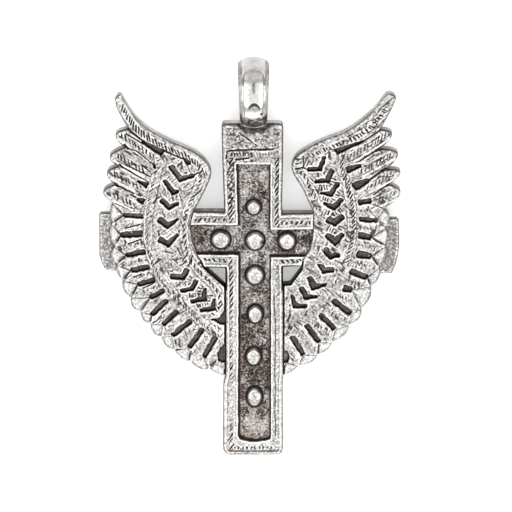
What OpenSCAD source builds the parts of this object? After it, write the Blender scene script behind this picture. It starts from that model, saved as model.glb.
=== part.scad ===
// Winged cross pendant: one white metal casting with a ring bail soldered to the head of the cross.
// It lies face up, leaning on the underside of the bail and on the lower edge of the foot.
// Drawing plane: X to the right, Y towards the bail, both from the middle of the crossing.
// The tables below hold drawn places. The part is longer than the drawing by the share length_share.
// Heights are measured from the middle of the plate's thickness.
// The finished part has its origin at the middle of the bail hole.

/* [Plate] */
// Lengths along the cross, as a share of the drawn ones
length_share = 1.046; // [1:0.002:1.06]
// Depth of the flat back below the middle of the plate
back_depth = 1.2; // [1:0.1:1.8]
// Height of the tops of the wings
wing_top = 1.3; // [1.1:0.1:1.6]
// Height of the floor of the pits in the wings
wing_floor = 0.1; // [-0.4:0.1:0.6]
// Width of the rounded edge round the wings
wing_bevel = 0.35; // [0.2:0.05:0.5]
// Height of the rim round the cross
rim_top = 1.65; // [1.45:0.1:2.05]
// Height of the rims of the cross arms
arm_top = 1.2; // [1:0.1:1.3]
// Height of the sunken field of the cross
field_floor = 0.4; // [0:0.1:0.8]
// Height of the plain tabs at the ends of the arms
tab_top = 0.2; // [-0.2:0.1:0.8]

/* [Cross] */
// Slope at the sides of the upright
side_bevel = 0.6; // [0.3:0.1:0.8]
// Slope at the top of the head
head_bevel = 0.7; // [0.4:0.1:1]
// Slope at the lower edge of the foot
foot_bevel = 0.6; // [0.4:0.1:1]
// Height of the domed bosses above the field
boss_h = 1.2; // [0.8:0.1:1.5]
// Distance between the hatch cuts along the rim
rim_hatch_pitch = 1.23; // [1:0.01:2]
// Length of a hatch cut on the rim
rim_hatch_l = 1; // [0.6:0.1:1.2]

/* [Bail] */
// Outer radius of the bail
bail_r = 6.2; // [5.8:0.1:6.6]
// Radius of the hole through the bail
bail_hole_r = 3.3; // [2.8:0.1:3.8]
// Width of the bail at its top
bail_top_w = 5.5; // [4.8:0.1:6]
// Width of the bail at the head of the cross
bail_root_w = 4.7; // [4:0.1:5.2]
// How far the edges of the band fall away from its crown
bail_crown = 0.7; // [0.3:0.1:1]
// Distance of the bail's middle above the crossing
bail_y = 27; // [26.6:0.1:27.4]
// Distance of the bail's middle to the right of the cross axis
bail_x = 0.1; // [-0.2:0.1:0.4]

/* [Relief] */
// Width of the feather slots
slot_w = 0.9; // [0.6:0.05:1.1]
// Width of the chevron pits
chevron_w = 0.75; // [0.5:0.05:0.9]
// Width of the short grooves at the feather tips
groove_w = 0.4; // [0.3:0.05:0.6]
// Depth of the grooves and hatch cuts
groove_depth = 0.3; // [0.15:0.05:0.5]
// Distance between the hatch cuts on the bands of the wings
band_hatch_pitch = 1.1; // [0.8:0.05:2]
// Length of a hatch cut on the bands of the wings
band_hatch_l = 1.1; // [0.8:0.1:1.5]

/* [Hidden] */
round_fn = 96;
cap_steps = 4;
rim_hatch_slant = 35;
overlap = 0.2;
above = 3;

// Foot to bail distances and the lean that lets both touch one flat surface
foot_y = -37.4;
foot_reach = bail_y - length_share * foot_y;
lean = asin(bail_r / norm([foot_reach, back_depth])) - atan(back_depth / foot_reach);

// Upright of the cross, from head to foot: [height, left edge, right edge]
upright_rows = [
  [20.6, -4.9, 4.6],
  [20.0, -5.5, 5.3],
  [7.3, -5.1, 5.1],
  [-8.4, -4.8, 5.3],
  [-23.3, -4.8, 5.3],
  [-25.0, -5.2, 5.2],
  [-36.3, -5.3, 5.3],
  [foot_y, -4.3, 4.4]
];

// Sunken field of the upright, from head to foot: [height, left edge, right edge]
field_rows = [
  [13.6, -2.9, 3.0],
  [3.0, -2.6, 3.0],
  [-2.7, -2.5, 3.1],
  [-34.4, -2.6, 3.1],
  [-34.9, -1.8, 2.3]
];

// Arms beside the upright: [outer end, inner end, top, bottom, field top, field bottom, field outer end]
arm_rows = [
  [-13.0, -4.0, 5.2, -4.6, 3.0, -2.2, -12.0],
  [13.0, 4.0, 4.9, -4.4, 2.2, -2.6, 12.0]
];

// Plain tabs at the ends of the arms, as corner points that go round each tab
left_tab = [
  [-20.0, 4.7], [-26.6, 4.7], [-26.9, 4.3], [-26.9, -2.7], [-26.5, -3.9],
  [-26.0, -5.0], [-25.4, -5.4], [-20.0, -5.4]
];
right_tab = [
  [20.0, 3.8], [25.1, 3.8], [25.5, 3.4], [25.6, -0.9], [25.4, -2.6],
  [25.0, -4.3], [24.3, -5.9], [20.0, -5.9]
];

// Domed bosses: [x, y, radius]
boss_rows = [
  [0.0, 5.8, 1.2],
  [-5.6, 0.2, 1.6],
  [0.35, 0.0, 1.65],
  [5.95, -0.1, 1.5],
  [0.35, -6.0, 1.55],
  [0.45, -12.8, 1.4],
  [0.1, -20.2, 1.4],
  [0.25, -27.3, 1.4]
];

// Leading edge of each wing, from the tip down to the arm: [x, y]
left_lead = [
  [-23.0, 25.6], [-22.1, 24.0], [-20.4, 21.5], [-18.0, 19.4], [-14.5, 17.5],
  [-11.0, 16.0], [-8.5, 14.3], [-7.3, 12.1], [-7.9, 9.9], [-9.4, 6.9], [-10.4, 5.3]
];
right_lead = [
  [23.8, 25.8], [23.0, 25.4], [21.3, 23.2], [18.9, 21.0], [16.1, 19.1],
  [12.6, 17.8], [9.6, 16.3], [7.4, 14.7], [6.8, 12.4], [8.7, 9.0], [10.6, 4.9]
];

// Inner edge of each wing, over the arm and down to the upright: [x, y]
left_inner = [
  [-11.0, 3.0], [-10.5, -0.2], [-9.8, -2.2], [-8.4, -4.6], [-4.6, -8.0]
];
right_inner = [
  [10.5, 2.1], [10.3, 0.3], [9.9, -1.4], [8.7, -3.2], [8.4, -4.9], [6.5, -7.4], [4.8, -7.6]
];

// Feathers of each wing, from the foot of the wing to its tip: [tip x, tip y, next notch x, next notch y]
left_feathers = [
  [-6.2, -23.2, -7.7, -22.3],
  [-9.2, -22.4, -11.0, -21.1],
  [-12.5, -20.5, -13.8, -19.0],
  [-15.2, -18.4, -16.1, -16.7],
  [-17.4, -16.1, -18.0, -14.4],
  [-19.2, -13.9, -19.7, -12.3],
  [-21.1, -11.5, -21.4, -9.9],
  [-22.7, -8.5, -22.8, -6.8],
  [-23.8, -5.5, -23.9, -4.0],
  [-24.9, -2.5, -24.3, -0.9],
  [-25.1, 1.1, -24.8, 3.1],
  [-25.0, 5.0, -24.5, 6.7],
  [-26.2, 8.5, -24.2, 9.9],
  [-25.5, 11.9, -23.5, 13.1],
  [-25.0, 14.8, -22.4, 16.4],
  [-24.0, 18.5, -21.8, 19.6]
];
right_feathers = [
  [6.5, -23.0, 8.0, -21.8],
  [10.1, -21.3, 11.3, -19.9],
  [13.2, -18.9, 13.8, -17.7],
  [16.1, -16.4, 16.8, -14.7],
  [18.7, -13.4, 18.9, -11.8],
  [20.5, -9.9, 20.6, -7.9],
  [22.0, -6.5, 22.2, -4.5],
  [23.3, -2.6, 23.3, -0.8],
  [23.6, 0.8, 23.3, 2.3],
  [23.9, 4.2, 22.9, 5.7],
  [25.8, 8.3, 23.8, 9.9],
  [25.8, 12.0, 23.3, 12.6],
  [25.3, 15.3, 22.1, 16.1],
  [24.3, 18.6, 22.2, 19.5]
];

// Lower end of each wing at the upright, and the outer edge of its tip: [x, y]
left_end = [-4.6, -23.5];
right_end = [4.8, -23.6];
left_tip = [[-22.6, 20.9], [-23.8, 23.2], [-24.1, 24.7], [-23.6, 25.5]];
right_tip = [[23.4, 21.5], [24.6, 23.8], [25.0, 24.9], [24.6, 25.5]];

// Feather slots: [inner x, inner y, outer x, outer y, inner width, outer width], widths as shares of slot_w
left_slots = [
  [-15.9, 15.8, -19.4, 17.6, 1.2, 0.4],
  [-17.3, 13.2, -17.8, 13.4, 0.8, 0.8],
  [-18.4, 10.2, -20.1, 10.7, 1, 0.8],
  [-19.1, 7.4, -20.5, 7.5, 1, 0.8],
  [-19.3, 4.6, -22.6, 4.8, 1, 0.9],
  [-19.3, 1.4, -23.1, 1.1, 1.3, 1.1],
  [-18.9, -1.8, -22.2, -2.4, 1.1, 1],
  [-18.2, -4.4, -21.4, -5.1, 1, 0.9],
  [-17.2, -6.7, -20.1, -7.5, 1, 0.9],
  [-15.6, -8.6, -18.0, -9.8, 1, 1],
  [-15.1, -10.2, -17.7, -12.8, 1, 0.9],
  [-13.1, -12.1, -15.8, -14.6, 1, 0.9],
  [-10.9, -13.8, -14.2, -16.6, 1, 0.9],
  [-8.7, -15.2, -11.2, -18.6, 1, 0.9],
  [-6.5, -16.6, -8.6, -20.3, 1, 0.9],
  [-5.3, -18.4, -5.5, -20.8, 0.9, 1.2]
];
right_slots = [
  [14.5, 15.6, 18.4, 17.2, 1.2, 0.4],
  [16.6, 12.6, 18.9, 13.3, 1, 0.7],
  [17.7, 9.6, 20.1, 10.6, 1.5, 0.6],
  [18.4, 6.8, 20.7, 7.2, 1, 0.9],
  [18.6, 3.9, 21.4, 3.7, 1, 0.9],
  [18.4, 1.1, 20.7, 0.7, 1.3, 1.2],
  [18.2, -2.1, 20.7, -2.6, 1.3, 1.1],
  [17.0, -5.1, 20.0, -6.3, 1.1, 1],
  [15.8, -8.1, 17.3, -8.5, 1.3, 1.1],
  [14.0, -10.3, 17.2, -12.7, 1.1, 1],
  [11.7, -12.8, 14.4, -15.4, 1, 0.9],
  [9.3, -14.5, 11.6, -17.7, 1, 0.9],
  [6.8, -16.6, 8.9, -19.9, 1, 0.9],
  [5.7, -19.5, 5.8, -21.2, 0.7, 1]
];

// Chevron pits: [left end x, y, vertex x, y, right end x, y]
left_chevrons = [
  [-12.4, 14.7, -10.7, 13.9, -11.4, 13.4],
  [-14.4, 13.4, -12.8, 11.1, -10.4, 11.7],
  [-15.4, 10.7, -13.8, 8.7, -12.0, 9.4],
  [-16.0, 7.3, -14.7, 6.0, -13.0, 6.8],
  [-16.6, 4.0, -14.9, 2.8, -13.1, 3.9],
  [-16.5, 0.4, -14.9, -0.5, -13.1, 1.2],
  [-14.6, -6.0, -12.3, -6.3, -11.4, -4.7],
  [-12.6, -8.7, -10.9, -8.4, -9.8, -6.8],
  [-10.9, -10.4, -8.6, -10.1, -8.2, -8.2],
  [-9.4, -12.1, -7.2, -11.6, -6.8, -9.8]
];
right_chevrons = [
  [9.6, 12.6, 11.7, 12.7, 12.5, 14.7],
  [10.9, 10.5, 13.1, 10.7, 13.9, 12.4],
  [11.9, 8.6, 13.8, 8.4, 15.0, 10.2],
  [12.6, 6.7, 14.1, 6.0, 15.8, 7.4],
  [12.9, 3.9, 14.3, 3.2, 15.9, 4.5],
  [12.7, 1.4, 14.4, -0.1, 15.8, 1.4],
  [12.3, -1.2, 13.9, -2.7, 15.2, -2.3],
  [11.4, -3.5, 12.6, -5.2, 14.3, -4.9],
  [9.8, -6.1, 10.9, -7.9, 12.8, -7.4],
  [8.4, -8.2, 9.5, -9.8, 11.4, -9.6],
  [6.7, -9.5, 7.4, -11.3, 9.6, -11.2]
];

// Short grooves at the feather tips: [outer x, outer y, inner x, inner y]
left_grooves = [
  [-24.9, 3.1, -22.6, 4.0],
  [-24.3, 2.7, -22.4, 1.9],
  [-24.2, -0.6, -22.6, 0.5],
  [-24.3, -1.3, -22.4, -1.8],
  [-23.6, -3.9, -22.4, -2.8],
  [-23.9, -4.8, -21.7, -4.8],
  [-22.8, -6.7, -21.5, -5.4],
  [-22.5, -7.4, -20.5, -7.8],
  [-21.3, -9.7, -20.1, -8.2],
  [-21.2, -10.2, -19.8, -10.2],
  [-19.6, -12.3, -18.7, -10.9],
  [-19.5, -12.8, -17.9, -12.4],
  [-11.2, -20.7, -10.9, -19.1]
];
right_grooves = [
  [22.2, -0.7, 20.7, 0.4],
  [21.9, -4.6, 20.5, -3.3],
  [22.0, -5.4, 20.6, -5.9],
  [20.7, -7.9, 19.8, -7.0],
  [18.9, -11.7, 18.6, -10.2],
  [16.8, -14.5, 16.1, -13.1],
  [13.9, -17.3, 13.7, -15.9],
  [13.5, -17.8, 11.9, -17.2],
  [11.4, -19.6, 11.4, -18.0],
  [10.9, -20.0, 9.3, -19.3],
  [8.0, -21.6, 6.6, -21.0]
];

// Middle line of the hatched band between the chevrons and the feathers: [x, y]
left_band = [
  [-16.3, 14.4], [-17.1, 10.8], [-18.0, 6.5], [-18.4, 2.8], [-18.1, -1.0],
  [-16.8, -5.0], [-14.6, -8.3], [-11.0, -12.1], [-8.0, -14.8]
];
right_band = [
  [14.7, 14.7], [16.1, 10.6], [17.1, 6.5], [17.3, 2.2], [16.6, -1.8],
  [15.2, -5.2], [12.6, -9.3], [9.0, -12.8], [6.8, -15.0]
];

// Middle line of the hatched band along the leading edge of each wing: [x, y]
left_lead_band = [
  [-22.7, 23.6], [-21.4, 21.5], [-18.9, 19.1], [-15.6, 17.0], [-11.9, 15.2], [-9.4, 13.4]
];
right_lead_band = [
  [23.0, 23.9], [21.3, 21.3], [18.2, 19.1], [14.6, 17.3], [11.0, 15.8], [8.6, 13.9]
];

// Rows of hatch cuts along the rims: [first x, first y, count]
rim_hatches = [
  [-3.9, 12.2, 5],
  [4.2, 12.2, 6],
  [-3.7, -6.4, 24],
  [4.2, -6.4, 24]
];
arm_hatches = [
  [-9.4, 4.1, 4],
  [-9.2, -3.4, 4],
  [5.6, 3.6, 4],
  [5.4, -3.5, 4]
];

// Lines cut across the head: [left x, right x, height]
head_lines = [
  [-4.2, 3.7, 16.1],
  [-3.2, -0.5, 14.6]
];

// Real place of a drawn one
function real(p) = [p[0], p[1] * length_share];

function reals(list) = [for (p = list) real(p)];

function spline_at(p, i, t) =
  let (
    a = p[max(i - 1, 0)],
    b = p[i],
    c = p[min(i + 1, len(p) - 1)],
    d = p[min(i + 2, len(p) - 1)]
  )
  (2 * b + (c - a) * t + (2 * a - 5 * b + 4 * c - d) * t * t
    + (3 * b - a - 3 * c + d) * t * t * t) / 2;

function spline(p, steps) = concat(
  [for (i = [0:len(p) - 2]) for (k = [0:steps - 1]) spline_at(p, i, k / steps)],
  [p[len(p) - 1]]
);

// Rounded feather end that leaves one notch, passes the tip and comes back to the next notch
function feather_curve(from, tip, to, steps) =
  let (pull = 2 * tip - (from + to) / 2)
  [for (k = [1:steps])
    let (t = k / steps)
    from * (1 - t) * (1 - t) + pull * 2 * t * (1 - t) + to * t * t];

function feather_edge(rows, start, steps) = [
  for (i = [0:len(rows) - 1])
    let (from = i == 0 ? start : [rows[i - 1][2], rows[i - 1][3]])
    each feather_curve(from, [rows[i][0], rows[i][1]], [rows[i][2], rows[i][3]], steps)
];

function wing_outline(lead, inner, end, feathers, tip) = reals(concat(
  spline(lead, 4), inner, [end], feather_edge(feathers, end, 6), tip
));

function row_outline(rows, side, top, foot) =
  let (
    n = len(rows),
    high = rows[0][0],
    low = rows[n - 1][0],
    y = [for (r = rows) r[0] > (high + low) / 2 ? r[0] - top : r[0] + foot]
  )
  reals(concat(
    [for (i = [0:n - 1]) [rows[i][1] + side, y[i]]],
    [for (i = [n - 1:-1:0]) [rows[i][2] - side, y[i]]]
  ));

function signed_area(p) = [for (i = [0:len(p) - 1])
  let (q = p[(i + 1) % len(p)]) (p[i][0] * q[1] - q[0] * p[i][1]) / 2]
  * [for (i = [0:len(p) - 1]) 1];

function turned(p) = signed_area(p) > 0 ? p : [for (i = [len(p) - 1:-1:0]) p[i]];

function unit(v) = v / norm(v);

// Outline moved inwards, corner by corner
function inset(p, d) = [
  for (i = [0:len(p) - 1])
    let (
      n = len(p),
      a = unit(p[i] - p[(i + n - 1) % n]),
      b = unit(p[(i + 1) % n] - p[i]),
      m = unit([-a[1] - b[1], a[0] + b[0]]),
      share = max(0.6, -m[0] * a[1] + m[1] * a[0])
    )
    p[i] + m * d / share
];

// Bar with upright walls and a sloping edge from its outline up to a smaller face.
// Both outlines come from row_outline, so each row gives one strip of the top and of the back.
module sloped_bar(outer, face, low, shoulder, high) {
  n = len(outer);
  rows = n / 2;
  rings = concat(
    [for (p = outer) [p[0], p[1], low]],
    [for (p = outer) [p[0], p[1], shoulder]],
    [for (p = face) [p[0], p[1], high]]
  );
  walls = [for (r = [0:1]) for (i = [0:n - 1])
    let (j = (i + 1) % n, a = r * n, b = a + n)
    each [[a + i, b + i, b + j], [a + i, b + j, a + j]]];
  back = [for (i = [0:rows - 2]) [i, i + 1, n - 2 - i, n - 1 - i]];
  top = [for (f = back) [for (k = [3:-1:0]) 2 * n + f[k]]];
  polyhedron(points = rings, faces = concat(back, walls, top));
}

// Flat shape with round ends, from one drawn place to another
module capsule(from, to, wp, wq) {
  p = real(from);
  q = real(to);
  turn = atan2(q[1] - p[1], q[0] - p[0]);
  polygon(concat(
    [for (k = [0:cap_steps]) let (a = turn + 90 + 180 * k / cap_steps)
      p + wp / 2 * [cos(a), sin(a)]],
    [for (k = [0:cap_steps]) let (a = turn - 90 + 180 * k / cap_steps)
      q + wq / 2 * [cos(a), sin(a)]]
  ));
}

module pits(slots, chevrons) {
  for (s = slots) capsule([s[0], s[1]], [s[2], s[3]], s[4] * slot_w, s[5] * slot_w);
  for (c = chevrons) {
    capsule([c[0], c[1]], [c[2], c[3]], chevron_w, chevron_w);
    capsule([c[2], c[3]], [c[4], c[5]], chevron_w, chevron_w);
  }
}

// Slanting cuts spaced along a band's middle line
module band_hatch(line, slant) {
  steps = 8;
  p = spline(line, steps);
  run = [for (i = 0, s = 0; i < len(p); s = s + (i < len(p) - 1 ? norm(p[i + 1] - p[i]) : 0), i = i + 1) s];
  for (s = [band_hatch_pitch:band_hatch_pitch:run[len(p) - 1] - band_hatch_pitch]) {
    i = len([for (r = run) if (r < s) r]) - 1;
    at = p[i] + (p[i + 1] - p[i]) * (s - run[i]) / (run[i + 1] - run[i]);
    dir = atan2(p[i + 1][1] - p[i][1], p[i + 1][0] - p[i][0]) + slant;
    half = band_hatch_l / 2 * [cos(dir), sin(dir)];
    capsule(at - half, at + half, groove_w / 2, groove_w / 2);
  }
}

// Three layers: the plate, the relief round the pits, and the hatched skin inside the rounded edge
module wing(outline, slots, chevrons, grooves, band, lead_band, slant) {
  outer = turned(outline);
  translate([0, 0, -back_depth])
    linear_extrude(back_depth + wing_floor) polygon(outer);
  translate([0, 0, wing_floor])
    linear_extrude(wing_top - groove_depth - wing_floor)
      difference() {
        polygon(outer);
        pits(slots, chevrons);
      }
  translate([0, 0, wing_top - groove_depth])
    linear_extrude(groove_depth)
      difference() {
        polygon(inset(outer, wing_bevel));
        pits(slots, chevrons);
        for (g = grooves) capsule([g[0], g[1]], [g[2], g[3]], groove_w, groove_w / 2);
        band_hatch(band, slant);
        band_hatch(lead_band, slant);
      }
}

module left_wing() {
  color("silver")
    wing(wing_outline(left_lead, left_inner, left_end, left_feathers, left_tip),
      left_slots, left_chevrons, left_grooves, left_band, left_lead_band, -60);
}

module right_wing() {
  color("silver")
    wing(wing_outline(right_lead, right_inner, right_end, right_feathers, right_tip),
      right_slots, right_chevrons, right_grooves, right_band, right_lead_band, 60);
}

module tabs() {
  color("darkgray")
    for (tab = [left_tab, right_tab])
      translate([0, 0, -back_depth])
        linear_extrude(back_depth + tab_top) polygon(reals(tab));
}

// Slanting cut in the rim of the cross
module rim_cut(x, y) {
  reach = rim_hatch_l / 2 * [cos(rim_hatch_slant), sin(rim_hatch_slant)];
  capsule([x, y] - reach, [x, y] + reach, groove_w, groove_w);
}

module upright() {
  color("gainsboro")
    difference() {
      sloped_bar(
        row_outline(upright_rows, 0, 0, 0),
        row_outline(upright_rows, side_bevel, head_bevel, foot_bevel),
        -back_depth, rim_top - side_bevel, rim_top
      );
      translate([0, 0, field_floor])
        linear_extrude(above) polygon(row_outline(field_rows, 0, 0, 0));
      translate([0, 0, rim_top - groove_depth])
        linear_extrude(above)
          {
            for (h = rim_hatches) for (k = [0:h[2] - 1])
              rim_cut(h[0], h[1] - k * rim_hatch_pitch);
            for (h = head_lines) capsule([h[0], h[2]], [h[1], h[2]], groove_w, groove_w);
          }
    }
}

module arms() {
  color("gainsboro")
    for (a = arm_rows)
      difference() {
        translate([min(a[0], a[1]), length_share * a[3], -back_depth])
          cube([abs(a[0] - a[1]), length_share * (a[2] - a[3]), back_depth + arm_top]);
        translate([min(a[6], 0), length_share * a[5], field_floor])
          cube([abs(a[6]), length_share * (a[4] - a[5]), above]);
        translate([0, 0, arm_top - groove_depth])
          linear_extrude(above)
            for (h = arm_hatches) for (k = [0:h[2] - 1])
              rim_cut(h[0] + k * rim_hatch_pitch, h[1]);
      }
}

module arm_field_cut() {
  for (a = arm_rows)
    translate([min(a[6] / 2, 0), length_share * a[5], field_floor])
      cube([abs(a[6]) / 2, length_share * (a[4] - a[5]), above]);
}

module bosses() {
  color("white")
    for (b = boss_rows) {
      ball_r = (b[2] * b[2] + boss_h * boss_h) / (2 * boss_h);
      translate([b[0], length_share * b[1], field_floor])
        intersection() {
          translate([0, 0, boss_h - ball_r]) sphere(r = ball_r, $fn = round_fn);
          translate([0, 0, -overlap]) cylinder(r = 2 * b[2], h = boss_h + 2 * overlap, $fn = round_fn);
        }
    }
}

// Ring in an upright plane, its width tapering towards the head of the cross
module bail() {
  half = bail_top_w / 2;
  edge_r = bail_r - bail_crown;
  color("silver")
    translate([bail_x, bail_y, 0])
      intersection() {
        rotate([0, 90, 0])
          rotate_extrude($fn = round_fn)
            polygon([
              [bail_hole_r, -half], [edge_r, -half], [bail_r - 0.25, -half * 0.72],
              [bail_r, -half * 0.4], [bail_r, half * 0.4], [bail_r - 0.25, half * 0.72],
              [edge_r, half], [bail_hole_r, half]
            ]);
        translate([0, 0, -bail_r - overlap])
          linear_extrude(2 * (bail_r + overlap))
            polygon([
              [-half, bail_r + overlap], [-bail_root_w / 2, -bail_r - overlap],
              [bail_root_w / 2, -bail_r - overlap], [half, bail_r + overlap]
            ]);
      }
}

module pendant() {
  rotate([lean, 0, 0])
    translate([-bail_x, -bail_y, 0])
      union() {
        difference() {
          upright();
          arm_field_cut();
        }
        arms();
        bosses();
        left_wing();
        right_wing();
        tabs();
        bail();
      }
}

pendant();
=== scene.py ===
"""Winged cross pendant of worn, silver plated cast metal, lying face up on a pale surface."""

import math

import bpy
import numpy as np
from mathutils import Matrix, Vector
from mathutils.geometry import tessellate_polygon


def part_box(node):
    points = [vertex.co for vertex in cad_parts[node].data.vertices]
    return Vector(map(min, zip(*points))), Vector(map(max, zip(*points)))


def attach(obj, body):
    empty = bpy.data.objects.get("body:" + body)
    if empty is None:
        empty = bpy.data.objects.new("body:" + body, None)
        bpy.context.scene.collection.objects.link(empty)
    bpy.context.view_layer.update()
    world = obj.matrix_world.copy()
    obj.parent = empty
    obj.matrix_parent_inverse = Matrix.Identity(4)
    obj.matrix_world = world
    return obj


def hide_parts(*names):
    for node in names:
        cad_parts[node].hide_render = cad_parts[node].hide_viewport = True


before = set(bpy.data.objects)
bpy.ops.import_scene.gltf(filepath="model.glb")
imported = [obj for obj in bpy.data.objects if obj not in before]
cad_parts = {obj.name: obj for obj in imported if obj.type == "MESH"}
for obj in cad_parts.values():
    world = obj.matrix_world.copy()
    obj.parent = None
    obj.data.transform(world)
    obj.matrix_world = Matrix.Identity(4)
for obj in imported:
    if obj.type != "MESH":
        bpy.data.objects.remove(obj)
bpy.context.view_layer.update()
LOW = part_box("pendant")[0]

bl_info = {
    "name": "Winged cross pendant",
    "version": (1, 0, 0),
    "blender": (4, 5, 0),
    "location": "View3D > Sidebar > Pendant",
    "description": "Builds a cast winged cross pendant with its bail and a photo stage",
    "category": "Add Mesh",
}

MM = 0.001
NODE = "pendant"

# The tables hold drawn places in millimetres, X to the right and Y towards the bail, from the crossing.
# The pendant is longer than the drawing by this share.
LENGTH_SHARE = 1.046
# Middle of the bail on the real pendant, and the drawn end of the foot
BAIL_X = 0.1
BAIL_Y = 27.0
FOOT_Y = -37.4
# How far the flat back of the cross, the wings and the tabs lies below the middle of the plate
BACK_DEPTH = 1.2
WING_BACK = 1.1
TAB_BACK = 1.05
# Camera: its angle above square to the face, lens, sensor, width of the view, and drawn aim
VIEW_TILT = math.radians(17)
LENS_MM = 1200
SENSOR_MM = 36
FRAME_MM = 89.6
AIM = (0.525, -2.45, 1.3)
# Half the width of the sheet under the pendant, in metres
SHEET_HALF = 0.6
# How far down the walls their rings of points lie, as shares of the wall
WALL_SHARES = (0.1, 0.5, 1.0)
# Farthest that a petal goes out from its apex, in millimetres
PETAL_REACH = 6.5
# Strokes that are drawn before their shapes come again
STROKE_KINDS = 512
# Points round the bail and across its band
BAIL_TURNS = 288
BAIL_ACROSS = 60

# Cross upright from head to foot: height, left edge, right edge
UPRIGHT_ROWS = (
    (20.6, -4.9, 4.6),
    (20.45, -5.25, 5.05),
    (20.0, -5.5, 5.3),
    (14.0, -5.35, 5.25),
    (7.3, -5.1, 5.1),
    (-8.4, -4.8, 5.3),
    (-23.3, -4.8, 5.3),
    (-25.0, -5.2, 5.2),
    (-36.3, -5.3, 5.3),
    (-37.1, -4.9, 5.0),
    (FOOT_Y, -4.3, 4.4),
)
# Sunken field of the upright from head to foot: height, left edge, right edge
FIELD_ROWS = (
    (13.6, -2.9, 3.0),
    (3.0, -2.6, 3.0),
    (-2.7, -2.5, 3.1),
    (-33.9, -2.6, 3.1),
    (-34.5, -2.3, 3.0),
    (-34.8, -1.6, 2.0),
    (-35.0, -0.5, 0.9),
)
# Arms: side, outer end, top, bottom, field top, field bottom
ARM_ROWS = (
    (-1, 12.6, 5.2, -4.6, 3.0, -2.2),
    (1, 12.6, 4.9, -4.4, 2.2, -2.6),
)
# Domed bosses: x, y, half width, half height
BOSS_ROWS = (
    (0.1, 5.9, 1.25, 1.3),
    (-5.65, 0.25, 1.65, 1.65),
    (0.35, 0.05, 1.6, 1.65),
    (5.95, 0.0, 1.5, 1.6),
    (0.35, -6.0, 1.6, 1.65),
    (0.4, -12.8, 1.35, 1.6),
    (0.1, -20.2, 1.35, 1.6),
    (0.25, -27.3, 1.35, 1.75),
)
LEFT_TAB = (
    (-22.0, 4.7), (-26.6, 4.7), (-26.9, 4.3), (-26.9, -2.7), (-26.5, -3.9),
    (-26.0, -5.0), (-25.4, -5.4), (-20.5, -5.4), (-20.5, 0.0),
)
RIGHT_TAB = (
    (20.5, 3.8), (25.1, 3.8), (25.5, 3.4), (25.6, -0.9), (25.4, -2.6),
    (25.0, -4.3), (24.3, -5.9), (20.0, -5.9), (20.0, 0.0),
)

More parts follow.
